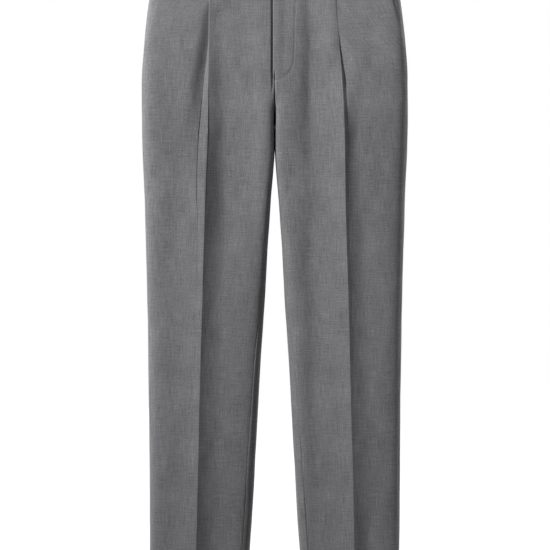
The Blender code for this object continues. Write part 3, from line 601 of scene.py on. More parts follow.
def pleat_path(pleat):
    """Path of the cloth round the pleat's two folds, as distances beside and off the ring.

    It runs from the foot of the valley up to the crease.  Where the valley is tucked under, the
    cloth lies in three layers; where it has moved out beside the crease, it is an open trough.
    """
    stacked = 2 * (CLOTH + GAP) * min(max(-pleat.valley / TUCK_FULL, 0.0), 1.0)
    top = np.array((0.0, stacked + pleat.ridge - FOLD_RADIUS))
    foot = np.array((pleat.valley, FOLD_RADIUS - pleat.dip))
    apart = foot - top
    leave = math.atan2(apart[1], apart[0]) + math.acos(2 * FOLD_RADIUS / np.linalg.norm(apart))
    slope = 2 * (1 - pleat.soft) / pleat.inner
    arrive = math.pi / 2 + math.atan(pleat.ridge * slope)
    rise = 1.5 * math.pi + math.atan(2 * (1 - pleat.soft) * pleat.dip / pleat.outer)
    foot_turn = np.linspace(rise, leave + math.pi, FOLD_POINTS)
    top_turn = np.linspace(leave, arrive, FOLD_POINTS)
    around_foot = foot + FOLD_RADIUS * np.column_stack((np.cos(foot_turn), np.sin(foot_turn)))
    around_top = top + FOLD_RADIUS * np.column_stack((np.cos(top_turn), np.sin(top_turn)))
    between = np.linspace(around_foot[-1], around_top[0], SLOPE_POINTS)[1:-1]
    return np.vstack((around_foot, between, around_top)), stacked


def pocket_mouth(ring):
    """Length of the slanted mouth, which runs back to the side seam at its foot."""
    part = (ring.height - POCKET_END) / (BAND_BOTTOM - POCKET_END)
    return ring.at_bearing(column(SECTIONS, "outseam", ring.height)) + POCKET_FORWARD * part


def front_ends(ring, side):
    """Lengths of the outer and the inner edge of a front."""
    if ring.height > POCKET_END:
        outer = pocket_mouth(ring) + GAP / 2
    else:
        outer = ring.at_bearing(column(SECTIONS, "outseam", ring.height)) - SEAM_LAP / 2
    if ring.height <= FORK:
        inseam = ring.at_bearing(HALF_TURN - column(SECTIONS, "inseam", ring.height))
        return outer, inseam + SEAM_LAP / 2
    lap = FLY_LAP if side > 0 else FLY_UNDERLAP
    closing = 1 - float(ease((FLY_END + FLY_CLOSE / 2 - ring.height) / FLY_CLOSE))
    edge = middle_edge(ring, ring.at_front_x)
    if side < 0:
        edge = ring.at_front_x(0.0) + CROTCH_UNDERLAP
    return outer, edge + (ring.at_front_x(-lap) - edge) * closing


def lapped(x):
    """1 beside the middle, where the right half passes under the left one, down to 0."""
    return 1 - ease((x - LAP_HOLD) / LAP_FADE)


def fly_lift(side, x, height, away_edge):
    """Shape of the cloth at the fly: lap, folded edge, raised facing and the seam's groove."""
    if height <= FORK:
        return seam_lift(away_edge)
    on_fly = 1 - float(ease((FLY_END - height) / FLY_SINK_FOOT))
    below = 1 - float(ease((height - FLY_END) / FLY_CLOSE))
    valley = -CROTCH_GROOVE * np.exp(-(x / CROTCH_GROOVE_WIDTH) ** 2) * below
    if side < 0:
        crevice = FLY_CREVICE * np.exp(-((x - FLY_CREVICE_X) / FLY_CREVICE_WIDTH) ** 2)
        under = CROTCH_SINK * ease(CROTCH_SINK_END - x / CROTCH_GROOVE_WIDTH) * (1 - on_fly)
        return valley - under - (FLY_SINK * lapped(x) + crevice) * on_fly
    beside = fly_seam_side(x, height)
    groove = FLY_GROOVE * np.exp(-(beside / FLY_GROOVE_WIDTH) ** 2)
    puff = FLY_PUFF * ease(-beside / FLY_PUFF_EDGE)
    roll = FLY_ROLL * (1 - ease((away_edge - FLY_ROLL_FLAT) / FLY_ROLL_SLOPE))
    return valley + (puff + roll) * (1 - below) - groove


def inner_columns(ring, start, inner):
    """Lengths of a front's columns from its crease to its inner edge.

    They keep their distance from the middle where the cloth starts to turn in to the valley.
    """
    corner = min(ring.at_front_x(column(SECTIONS, "gap", ring.height) + TURN_IN), inner - TURN_IN)
    beside = [ring.at_front_x(float(ring.x_at(corner)) + away) for away in TURN_BESIDE]
    first = start + spaced(beside[0] - start, NEAR, FRONT_COLUMNS, (0.0,))
    last = corner + spaced(inner - corner, CORNER, VALLEY_COLUMNS, FAR)
    return np.concatenate((first, beside[1:], last))


def front_row(height, side):
    """Points of a front at one height, from the side seam to the middle, and its edge shares."""
    ring = ring_at(height)
    pleat = pleat_at(side, height)
    crease = ring.at_front_x(pleat.crease)
    outer, inner = front_ends(ring, side)
    path, stacked = pleat_path(pleat)

    start = crease - path[0][0]
    away = spaced(start - outer, NEAR, FRONT_COLUMNS, FAR)[::-1]
    lengths_out = start - away
    lift_out = path[0][1] * flank(away, pleat.outer, pleat.soft) + seam_lift(lengths_out - outer)

    lengths_fold = crease - path[:, 0]

    start = crease - path[-1][0]
    lengths_in = inner_columns(ring, start, inner)
    away = lengths_in - start
    ridge = (path[-1][1] - stacked) * flank(away, pleat.inner, pleat.soft)
    past_fold = away + min(pleat.valley, 0.0) - LAYER_HOLD
    layers = stacked * (1 - ease(past_fold / LAYER_FADE))
    x_in = ring.x_at(lengths_in)
    lift_in = ridge + layers + fly_lift(side, x_in, height, inner - lengths_in)

    lengths = np.concatenate((lengths_out, lengths_fold, lengths_in))
    lifts = np.concatenate((lift_out, path[:, 1], lift_in))
    soft = fold_lift(FRONT_FOLDS, side, ring.x_at(lengths), height)
    soft += swell_lift(side, lengths - crease, height)
    folded = slice(len(lengths_out), len(lengths_out) + len(lengths_fold))
    soft[folded] = np.linspace(soft[folded][0], soft[folded][-1], len(lengths_fold))
    share = edge_share(np.minimum(lengths - outer, inner - lengths), CLOTH)
    share[folded] = 1.0
    top_roll = float(seam_lift(PANEL_TOP - height))
    return ring.points_at(lengths, lifts + soft + top_roll), share


# The backs

def dart_lift(x, height):
    """Grooves of the back darts, running out downwards."""
    lift = np.zeros_like(x)
    for place, size in DARTS:
        left = (height - (BAND_BOTTOM - size)) / size
        if left > 0:
            across = (x - place + DART_LEAN * (1 - left)) / DART_WIDTH
            lift -= DART_DEPTH * left ** 0.5 * np.exp(-across ** 2)
    return lift * float(ease((PANEL_TOP - height) / DART_FADE))


def back_row(height, side):
    """Points of a back at one height, from the middle or inseam to the side seam."""
    ring = ring_at(height)
    if height <= FORK:
        inner = ring.at_bearing(-HALF_TURN - column(SECTIONS, "inseam", height)) - SEAM_LAP / 2
    else:
        inner = middle_edge(ring, ring.at_back_x)
    outer = ring.at_bearing(column(SECTIONS, "outseam", height)) + SEAM_LAP / 2
    crease = ring.at_bearing(BACK_CREASE_BEARING)
    shown = float(ease((BACK_CREASE_TOP - height) / (BACK_CREASE_TOP - BACK_CREASE_FULL)))
    to_inner = crease - spaced(crease - inner, NEAR, BACK_COLUMNS, FAR)[:0:-1]
    to_outer = crease + spaced(outer - crease, NEAR, BACK_COLUMNS, FAR)
    lengths = np.concatenate((to_inner, to_outer))
    lifts = BACK_CREASE * shown * back_flank(np.abs(lengths - crease))
    away_edge = np.minimum(lengths - inner, outer - lengths)
    lifts += seam_lift(away_edge)
    x = ring.x_at(lengths)
    behind = lengths < ring.at_bearing(BACK_FOLDS_END)
    lifts += np.where(behind, fold_lift(BACK_FOLDS, side, x, height) + dart_lift(x, height), 0.0)
    lifts += swell_lift(side + SWELL_BACK, lengths - crease, height)
    lifts += float(seam_lift(PANEL_TOP - height))
    points = ring.points_at(lengths, lifts)
    if height > FORK:
        points[0, 0] = -SEAM_LAP
    return points, edge_share(away_edge, CLOTH)


# Meshes and objects

def grid_normals(grid, plan):
    """Unit normals of a grid of points, outwards.

    They are level along its top and foot, and follow the ring's own direction along its sides.
    """
    normals = np.cross(np.gradient(grid, axis=1), np.gradient(grid, axis=0))
    normals[(0, -1), :, 2] = 0.0
    normals /= np.linalg.norm(normals, axis=2, keepdims=True)
    for edge in (0, -1):
        level = np.sqrt(1 - normals[:, edge, 2:] ** 2)
        normals[:, edge, :2] = plan[:, edge] * level
    return normals


def grain_of(grid, middle):
    """Cloth coordinates of a grid: metres across from one of its columns, and down that column."""
    across = np.array([run_of(row) for row in grid])
    across -= across[:, middle:middle + 1]
    down = -run_of(grid[:, middle])
    return np.stack((across, np.repeat(down[:, None], grid.shape[1], axis=1)), axis=2)


def grid_area(grid):
    """Area of a grid of points."""
    diagonals = grid[1:, 1:] - grid[:-1, :-1], grid[1:, :-1] - grid[:-1, 1:]
    return float(np.linalg.norm(np.cross(*diagonals), axis=2).sum() / 2)


def cloth_shell(name, rows, shares, wall, side, material, middle, inner_extra):
    """Closed shell of cloth on both sides of a grid, mirrored for the right side.

    shares thins the wall towards its rounded edges, and inner_extra thickens it inwards.
    """
    table = np.array(rows, dtype=float)
    grid = table[..., :3]
    normals = grid_normals(grid, table[..., 3:])
    half = wall / 2 * shares
    outside = grid + normals * half[..., None]
    inside = grid - normals * (half + inner_extra)[..., None]
    points = np.stack((outside, inside))
    points[..., 0] *= side
    count, width = grid.shape[:2]
    size = count * width
    at = np.arange(size).reshape(count, width)
    a, b, c, d = at[:-1, :-1], at[:-1, 1:], at[1:, 1:], at[1:, :-1]
    front = np.stack((a, b, c, d), axis=-1).reshape(-1, 4)
    back = np.stack((a, d, c, b), axis=-1).reshape(-1, 4) + size
    rim = np.concatenate((at[0], at[1:, -1], at[-1, -2::-1], at[-2:0:-1, 0]))
    after = np.roll(rim, -1)
    edge = np.column_stack((after, rim, rim + size, after + size))
    quads = np.vstack((front, back, edge))
    if side < 0:
        quads = quads[:, ::-1]
    mesh = bpy.data.meshes.new(name)
    mesh.from_pydata(points.reshape(-1, 3), [], quads.tolist())
    grain = grain_of(grid, middle)
    places = np.tile(grain.reshape(-1, 2), (2, 1)) * (side, 1)
    corners = np.empty(len(mesh.loops), dtype=np.int32)
    mesh.loops.foreach_get("vertex_index", corners)
    mesh.uv_layers.new(name=GRAIN).data.foreach_set("uv", places[corners].ravel())
    mesh.shade_smooth()
    mesh.set_sharp_from_angle(angle=math.radians(SHARP_ANGLE))
    piece = add_piece(name, mesh, material)
    piece["cut_width"] = float(np.ptp(grain[..., 0], axis=1).max())
    piece["cut_length"] = float(np.ptp(grain[:, 0, 1]))
    piece["cut_area"] = grid_area(grid)
    return piece


def cut_panel(name, heights, row_at, wall, side, material, middle=0, hemmed=False):
    """Shell of a panel from the points and the edge shares of its rows.

    It is thinned towards its top and foot as well, and a hemmed one has a second layer at its foot.
    """
    rows, shares = zip(*(row_at(height, side) for height in heights))
    heights = np.array(heights)
    away = np.minimum(heights[0] - heights, heights - heights[-1])
    shares = np.array(shares) * edge_share(away, wall)[:, None]
    second = 0.0
    if hemmed:
        over_hem = (heights - HEM)[:, None]
        within = 1 - ease((over_hem - TURN_UP) / CLOTH)
        second = TURN_UP_WALL * within * edge_share(over_hem, 2 * CLOTH)
    return cloth_shell(name, rows, shares, wall, side, material, middle, second)


def add_piece(name, mesh, material):
    """Object of a finished mesh at the origin."""
    mesh.materials.clear()
    mesh.materials.append(material)
    piece = bpy.data.objects.new(name, mesh)
    bpy.context.scene.collection.objects.link(piece)
    return piece


def settle(piece, slot, *nodes):
    """Make a piece part of the garment, in place of its solids."""
    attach(piece, "root")
    if nodes:
        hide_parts(*nodes)


# Colours and materials

def linear(code):
    """Linear colour of an sRGB hex code."""
    shares = [int(code[k:k + 2], 16) / 255 for k in (1, 3, 5)]
    return [s / 12.92 if s <= 0.04045 else ((s + 0.055) / 1.055) ** 2.4 for s in shares]


def feed(node, inputs):
    """Set sockets of a node to values, or link them to the sockets that feed them."""
    for socket, value in inputs.items():
        if isinstance(value, bpy.types.NodeSocket):
            node.id_data.links.new(value, node.inputs[socket])
        else:
            node.inputs[socket].default_value = value


def add(tree, kind, inputs=None, **settings):
    """Add a node with its settings and its inputs."""
    made = tree.nodes.new(kind)
    for name, value in settings.items():
        setattr(made, name, value)
    feed(made, inputs or {})
    return made


# Tones of the yarns: size of each across and down, in millimetres, and its share of the contrast.
# The real yarns are 0.4 mm apart, too fine to show, so they are drawn in groups of a few.
Yarn = namedtuple("Yarn", "across down share seed")
YARNS = tuple(Yarn(*row) for row in (
    (1.9, 30.0, 0.62, 3.0),
    (26.0, 1.9, 0.52, 17.0),
    (2.3, 2.3, 0.80, 31.0),
    (34.0, 60.0, 0.30, 47.0),
))
TINT = (7.0, 11.0)         # patches of warmer and cooler fibre, across and down, in millimetres
TAPE_WAVE = 132.633        # gives ribs 2.4 mm apart, as finer ones wouldn't show


def worsted_wool(tree, shader, sizes):
    """Plain-woven heather worsted: dark and light fibres spun together, clear cut and pressed.

    It gives a matt grey with a fine crosshatch of slubs along both yarns and a faint bloom.
    """
    grain = add(tree, "ShaderNodeUVMap", uv_map=GRAIN)
    tone = None
    for yarn in YARNS:
        scale = (1000 / yarn.across, 1000 / yarn.down, 1.0)
        laid = add(tree, "ShaderNodeMapping", {
            "Vector": grain.outputs["UV"], "Scale": scale, "Location": 3 * (yarn.seed,)})
        spun = add(tree, "ShaderNodeTexNoise", {
            "Vector": laid.outputs["Vector"], "Scale": 1.0, "Detail": 2.0, "Roughness": 0.55})
        base = 0.5 if tone is None else tone.outputs["Value"]
        centred = add(tree, "ShaderNodeMath", {0: spun.outputs["Fac"], 1: 0.5}, operation="SUBTRACT")
        tone = add(tree, "ShaderNodeMath", {
            0: centred.outputs["Value"], 1: yarn.share * sizes.heather_contrast, 2: base},
            operation="MULTIPLY_ADD")
    heather = add(tree, "ShaderNodeMix", {
        "Factor": tone.outputs["Value"], "A": (*sizes.wool_dark, 1.0), "B": (*sizes.wool_light, 1.0)},
        data_type="RGBA")
    tinting = add(tree, "ShaderNodeMapping", {
        "Vector": grain.outputs["UV"], "Scale": (1000 / TINT[0], 1000 / TINT[1], 1.0)})
    dyed = add(tree, "ShaderNodeTexNoise", {
        "Vector": tinting.outputs["Vector"], "Scale": 1.0, "Detail": 3.0, "Roughness": 0.7})
    tint = add(tree, "ShaderNodeMix", {
        "Factor": dyed.outputs["Fac"], "A": (*sizes.wool_cool, 1.0), "B": (*sizes.wool_warm, 1.0)},
        data_type="RGBA")
    coloured = add(tree, "ShaderNodeMix", {
        "Factor": 1.0, "A": heather.outputs["Result"], "B": tint.outputs["Result"]},
        data_type="RGBA", blend_type="MULTIPLY")
    relief = add(tree, "ShaderNodeBump", {
        "Height": tone.outputs["Value"], "Strength": 0.35, "Distance": 0.0005})
    feed(shader, {
        "Base Color": coloured.outputs["Result"], "Normal": relief.outputs["Normal"],
        "Roughness": 0.92, "Specular IOR Level": 0.2, "Sheen Weight": 0.10, "Sheen Roughness": 0.5})


def polyester_tape(tree, shader):
    """Woven polyester zip tape: dark grey, with fine ribs across it."""
    grain = add(tree, "ShaderNodeUVMap", uv_map=GRAIN)
    ribs = add(tree, "ShaderNodeTexWave", {
        "Vector": grain.outputs["UV"], "Scale": TAPE_WAVE, "Distortion": 0.4},
        bands_direction="Y")
    colour = add(tree, "ShaderNodeMix", {
        "Factor": ribs.outputs["Fac"], "A": (*linear("#2c2d30"), 1.0), "B": (*linear("#4a4b4f"), 1.0)},
        data_type="RGBA")
    relief = add(tree, "ShaderNodeBump", {
        "Height": ribs.outputs["Fac"], "Strength": 0.4, "Distance": 0.0003})
    feed(shader, {
        "Base Color": colour.outputs["Result"], "Normal": relief.outputs["Normal"],
        "Roughness": 0.8})


def nickel_plate(tree, shader):
    """Nickel-plated brass, tumbled: a warm grey gloss with fine random scuffs."""
    place = add(tree, "ShaderNodeTexCoord")
    scuffs = add(tree, "ShaderNodeTexNoise", {
        "Vector": place.outputs["Object"], "Scale": 900.0, "Detail": 4.0, "Roughness": 0.6})
    gloss = add(tree, "ShaderNodeMapRange", {
        "Value": scuffs.outputs["Fac"], "To Min": 0.22, "To Max": 0.42})
    feed(shader, {
        "Base Color": (*linear("#b9b4ab"), 1.0), "Metallic": 1.0,
        "Roughness": gloss.outputs["Result"]})


def polished_horn(tree, shader):
    """Turned and polished horn: near black with soft brown-grey streaks and a low gloss."""
    place = add(tree, "ShaderNodeTexCoord")
    turned = add(tree, "ShaderNodeMapping", {
        "Vector": place.outputs["Object"], "Rotation": (0.0, 0.6, 0.4), "Scale": (140.0, 420.0, 420.0)})
    streaks = add(tree, "ShaderNodeTexNoise", {
        "Vector": turned.outputs["Vector"], "Scale": 1.0, "Detail": 5.0, "Distortion": 0.8})
    spread = add(tree, "ShaderNodeMapRange", {
        "Value": streaks.outputs["Fac"], "From Min": 0.38, "From Max": 0.68})
    colour = add(tree, "ShaderNodeMix", {
        "Factor": spread.outputs["Result"], "A": (*linear("#2a2624"), 1.0),
        "B": (*linear("#6a5f56"), 1.0)}, data_type="RGBA")
    feed(shader, {"Base Color": colour.outputs["Result"], "Roughness": 0.32})


def polyester_thread(tree, shader, code):
    """Core-spun sewing thread: a soft low shine, twisted along its length."""
    place = add(tree, "ShaderNodeTexCoord")
    twist = add(tree, "ShaderNodeTexNoise", {
        "Vector": place.outputs["Object"], "Scale": 1800.0, "Detail": 1.0})
    darker = [share * 0.7 for share in linear(code)]
    colour = add(tree, "ShaderNodeMix", {
        "Factor": twist.outputs["Fac"], "A": (*darker, 1.0), "B": (*linear(code), 1.0)},
        data_type="RGBA")
    feed(shader, {"Base Color": colour.outputs["Result"], "Roughness": 0.55})


def painted_board(_, shader):
    """Board with a matt pale paint, rolled on: no gloss to speak of."""
    feed(shader, {
        "Base Color": (*linear("#f6f6f5"), 1.0), "Roughness": 0.9, "Specular IOR Level": 0.1})


def finish_of(name, make, *details):
    """A material by its name, made the first time that a piece asks for it."""
    material = bpy.data.materials.get(name)
    if material is None:
        material = bpy.data.materials.new(name)
        material.use_nodes = True
        tree = material.node_tree
        make(tree, tree.nodes["Principled BSDF"], *details)
    return material


# Stitches

def stitch_tree():
    """Node group that lays one stitch on each pitch of a path, along its own direction."""
    tree = bpy.data.node_groups.new("Stitch Row", "GeometryNodeTree")
    sockets = (
        ("Path", "NodeSocketGeometry", "INPUT"),
        ("Pitch", "NodeSocketFloat", "INPUT"),
        ("Length", "NodeSocketFloat", "INPUT"),
        ("Thickness", "NodeSocketFloat", "INPUT"),
        ("Thread", "NodeSocketMaterial", "INPUT"),
        ("Stitches", "NodeSocketGeometry", "OUTPUT"),
    )
    for name, kind, way in sockets:
        tree.interface.new_socket(name, in_out=way, socket_type=kind)
    given = add(tree, "NodeGroupInput").outputs
    line = add(tree, "GeometryNodeMeshToCurve", {"Mesh": given["Path"]})
    pitched = add(tree, "GeometryNodeResampleCurve", {
        "Curve": line.outputs["Curve"], "Length": given["Pitch"]}, mode="LENGTH")
    ball = add(tree, "GeometryNodeMeshUVSphere", {"Segments": 8, "Rings": 6, "Radius": 0.5})
    size = add(tree, "ShaderNodeCombineXYZ", {
        "X": given["Length"], "Y": given["Thickness"], "Z": given["Thickness"]})
    lay = add(tree, "GeometryNodeInputNamedAttribute", {"Name": "lay"}, data_type="FLOAT_VECTOR")
    turn = add(tree, "FunctionNodeAlignRotationToVector", {
        "Vector": lay.outputs["Attribute"]}, axis="X")
    laid = add(tree, "GeometryNodeInstanceOnPoints", {
        "Points": pitched.outputs["Curve"], "Instance": ball.outputs["Mesh"],
        "Rotation": turn.outputs["Rotation"], "Scale": size.outputs["Vector"]})
    real = add(tree, "GeometryNodeRealizeInstances", {"Geometry": laid.outputs["Instances"]})
    shaded = add(tree, "GeometryNodeSetShadeSmooth", {"Geometry": real.outputs["Geometry"]})
    dyed = add(tree, "GeometryNodeSetMaterial", {
        "Geometry": shaded.outputs["Geometry"], "Material": given["Thread"]})
    add(tree, "NodeGroupOutput", {"Stitches": dyed.outputs["Geometry"]})
    return tree


def stitch_row(name, points, lay, pitch, length, thickness, material):
    """Stitches along a path, as a plain mesh."""
    path = bpy.data.meshes.new(name)
    steps = [(k, k + 1) for k in range(len(points) - 1)]
    path.from_pydata([tuple(point) for point in points], steps, [])
    directions = path.attributes.new("lay", "FLOAT_VECTOR", "POINT")
    directions.data.foreach_set("vector", np.asarray(lay, dtype=np.float32).ravel())
    piece = bpy.data.objects.new(name, path)
    bpy.context.scene.collection.objects.link(piece)
    tree = bpy.data.node_groups.get("Stitch Row") or stitch_tree()
    work = piece.modifiers.new("stitches", "NODES")
    work.node_group = tree
    given = {"Pitch": pitch, "Length": length, "Thickness": thickness, "Thread": material}
    for item in tree.interface.items_tree:
        if item.in_out == "INPUT" and item.name in given:
            work[item.identifier] = given[item.name]
    graph = bpy.context.evaluated_depsgraph_get()
    mesh = bpy.data.meshes.new_from_object(piece.evaluated_get(graph))
    piece.modifiers.remove(work)
    piece.data = mesh
    return piece


def laid_on(piece, places, lift=0.0):
    """Points on the front of a piece at some x and z, lifted off it."""
    points = []
    for x, z in places:
        found, point, normal, _ = piece.ray_cast(Vector((x, -1.0, z)), Vector((0.0, 1.0, 0.0)))
        if not found:
            raise RuntimeError(f"{piece.name} has no cloth at x {x:.4f}, z {z:.4f}")
        points.append(point + normal * lift)
    return np.array(points)


def along_of(points):
    """Unit directions along a path."""
    steps = np.gradient(points, axis=0)
    return steps / np.linalg.norm(steps, axis=1, keepdims=True)


# Settings

class TrousersSizes(bpy.types.PropertyGroup):
    """Cloth and thread."""

    heather_contrast: bpy.props.FloatProperty(
        name="Heather contrast", description="How far the yarns differ in tone",
        default=1.0, min=0.0, max=3.0)
    wool_dark: bpy.props.FloatVectorProperty(
        name="Dark fibre", description="Darkest tone of the heather yarn",
        default=linear("#4d4d4f"), subtype="COLOR", size=3)
    wool_light: bpy.props.FloatVectorProperty(
        name="Light fibre", description="Lightest tone of the heather yarn",
        default=linear("#9a9a9c"), subtype="COLOR", size=3)
    wool_cool: bpy.props.FloatVectorProperty(
        name="Cool tint", description="Tint of the bluish fibres",
        default=linear("#f4f6ff"), subtype="COLOR", size=3)
    wool_warm: bpy.props.FloatVectorProperty(
        name="Warm tint", description="Tint of the brownish fibres",
        default=linear("#fff9f2"), subtype="COLOR", size=3)
    stitch_pitch: bpy.props.FloatProperty(
        name="Stitch pitch", description="Distance from one stitch to the next",
        default=0.0027, min=0.001, unit="LENGTH")
    stitch_length: bpy.props.FloatProperty(
        name="Stitch length", description="Thread that shows of each stitch",
        default=0.0021, min=0.0005, unit="LENGTH")
    thread: bpy.props.FloatProperty(
        name="Thread", description="Thickness of the sewing thread",
        default=0.00038, min=0.0001, unit="LENGTH")


class TrousersStage(bpy.types.PropertyGroup):
    """Camera, light and floor."""

    view_width: bpy.props.FloatProperty(
        name="View width", description="Width seen at the trousers",
        default=0.9075, min=0.1, unit="LENGTH")
    view_distance: bpy.props.FloatProperty(
        name="View distance", description="Camera to the middle of the trousers",
        default=8.0, min=1.0, unit="LENGTH")
    view_height: bpy.props.FloatProperty(
        name="View height", description="Height of the camera", default=-0.5024, unit="LENGTH")
    view_x: bpy.props.FloatProperty(
        name="View x", description="Camera to the side of the middle", default=0.0004, unit="LENGTH")
    key: bpy.props.FloatProperty(
        name="Key light", description="Power of the light from the left in watts",
        default=1850.0, min=0.0)
    wall: bpy.props.FloatProperty(
        name="White wall", description="Strength of the light from the wall behind",
        default=1.35, min=0.0)
    top: bpy.props.FloatProperty(
        name="Top light", description="Strength of the light from above", default=1.4, min=0.0)
    fill: bpy.props.FloatProperty(
        name="Fill light", description="Strength of the light from the right", default=0.18, min=0.0)
    air: bpy.props.FloatProperty(
        name="Air", description="Strength of the light from the room in front",
        default=0.10, min=0.0)


# Operators

class TROUSERS_OT_waistband(bpy.types.Operator):
    """Make the two halves of the waistband"""

    bl_idname = "trousers.waistband"
    bl_label = "Waistband"

    def execute(self, context):
        wool = finish_of("worsted_wool", worsted_wool, context.scene.trousers_sizes)
        heights = wall_heights(BAND_TOP, BAND_BOTTOM, BAND_ROWS)
        for name, side in SIDES.items():
            band = cut_panel(f"cloth_waistband_{name}", heights, self.band_row, BAND_WALL, side, wool)
            settle(band, "wool", f"waistband_{name}")
        return {"FINISHED"}

    def band_row(self, height, side):
        """Points of half a waistband at one height, from the back middle to its front end."""
        ring = ring_at(height)
        start = middle_edge(ring, ring.at_back_x)
        end = ring.at_front_x(-FLY_LAP if side > 0 else -BAND_UNDERLAP)
        lengths = start + spaced(end - start, FAR[-2::-1], BAND_COLUMNS, FAR)
        x = ring.x_at(lengths)
        low = np.zeros_like(lengths)
        if side < 0:
            low = BAND_SINK * lapped(x) * (lengths > ring.at_bearing(0))
        lifts = BAND_PROUD - low + BAND_SWELL * swell_lift(side, lengths, height)
        away = np.minimum(lengths - start, end - lengths)
        return ring.points_at(lengths, lifts), edge_share(away, BAND_WALL)


class TROUSERS_OT_fronts(bpy.types.Operator):
    """Make the two fronts, each with its pleat, crease and soft folds"""

    bl_idname = "trousers.fronts"
    bl_label = "Fronts"

    def execute(self, context):
        sizes = context.scene.trousers_sizes
        wool = finish_of("worsted_wool", worsted_wool, sizes)
        heights = wall_heights(PANEL_TOP, HEM, FINE_ROWS, ROW_STOPS)
        for name, side in SIDES.items():
            front = cut_panel(f"cloth_front_{name}", heights, front_row, CLOTH, side, wool,
                              FRONT_CREASE_COLUMN, hemmed=True)
            settle(front, "wool", f"front_{name}")
            stitches = [self.fly_seam(front, sizes)] if side > 0 else []
        return {"FINISHED"}

    def fly_seam(self, front, sizes):
        """Stitches of the fly's seam, down the straight and round the curve."""
        top = BAND_BOTTOM - FLY_STITCH_START
        places = [(FLY_STITCH_TOP + (FLY_STITCH_LOW - FLY_STITCH_TOP) * part,
                   top + (FLY_STITCH_TURN - top) * part)
                  for part in np.linspace(0, 1, FLY_STRAIGHT_POINTS, endpoint=False)]
        places += [(FLY_STITCH_LOW * math.cos(angle),
                    FLY_STITCH_TURN + (FLY_END - FLY_STITCH_TURN) * math.sin(angle))
                   for angle in np.linspace(0, math.pi / 2, FLY_CURVE_POINTS)]
        points = laid_on(front, places)
        thread = finish_of("polyester_thread", polyester_thread, "#6a6a6d")
        row = stitch_row("stitches_fly", points, along_of(points), sizes.stitch_pitch,
                         sizes.stitch_length, sizes.thread, thread)
        settle(row, "wool")
        return row


class TROUSERS_OT_backs(bpy.types.Operator):
    """Make the two backs, with their darts and creases"""

    bl_idname = "trousers.backs"
    bl_label = "Backs"

    def execute(self, context):
        wool = finish_of("worsted_wool", worsted_wool, context.scene.trousers_sizes)
        heights = wall_heights(PANEL_TOP, HEM, PLAIN_ROWS, ROW_STOPS)
        for name, side in SIDES.items():
            back = cut_panel(f"cloth_back_{name}", heights, back_row, CLOTH, side, wool,
                             BACK_CREASE_COLUMN, hemmed=True)
            settle(back, "wool", f"back_{name}")
        return {"FINISHED"}


class TROUSERS_OT_pockets(bpy.types.Operator):
    """Make the facings that show in the slanted pocket mouths"""

    bl_idname = "trousers.pockets"
    bl_label = "Pocket facings"

    def execute(self, context):
        wool = finish_of("worsted_wool", worsted_wool, context.scene.trousers_sizes)
        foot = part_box("pocket_facing_left")[0].z
        heights = [BAND_BOTTOM + POCKET_TUCK, BAND_BOTTOM + POCKET_TUCK / 2]
        heights += [height for height in wall_heights(PANEL_TOP, HEM, PLAIN_ROWS, ROW_STOPS)
                    if height > foot]
        for name, side in SIDES.items():
            facing = cut_panel(f"cloth_pocket_facing_{name}", heights, self.facing_row, CLOTH, side,
                               wool)
            settle(facing, "wool", f"pocket_facing_{name}")
        return {"FINISHED"}

    def facing_row(self, height, _):
        """Points of either facing at one height, from the side seam to under the front."""
        ring = ring_at(height)
        seam = ring.at_bearing(column(SECTIONS, "outseam", height)) - SEAM_LAP / 2
        mouth = pocket_mouth(ring) if height > POCKET_END else seam
        shown = max(mouth - seam, GAP)
        away = spaced(shown + POCKET_UNDER, FAR[-2::-1], FACING_COLUMNS, FAR)
        sunk_all = 1 - float(ease(shown / POCKET_MERGE))
        low = np.maximum(ease(away / (POCKET_DROP * shown)), sunk_all)
        edge = np.minimum(away, away[-1] - away)
        lifts = -POCKET_SINK * low + seam_lift(away)
        return ring.points_at(seam + away, lifts), edge_share(edge, CLOTH)


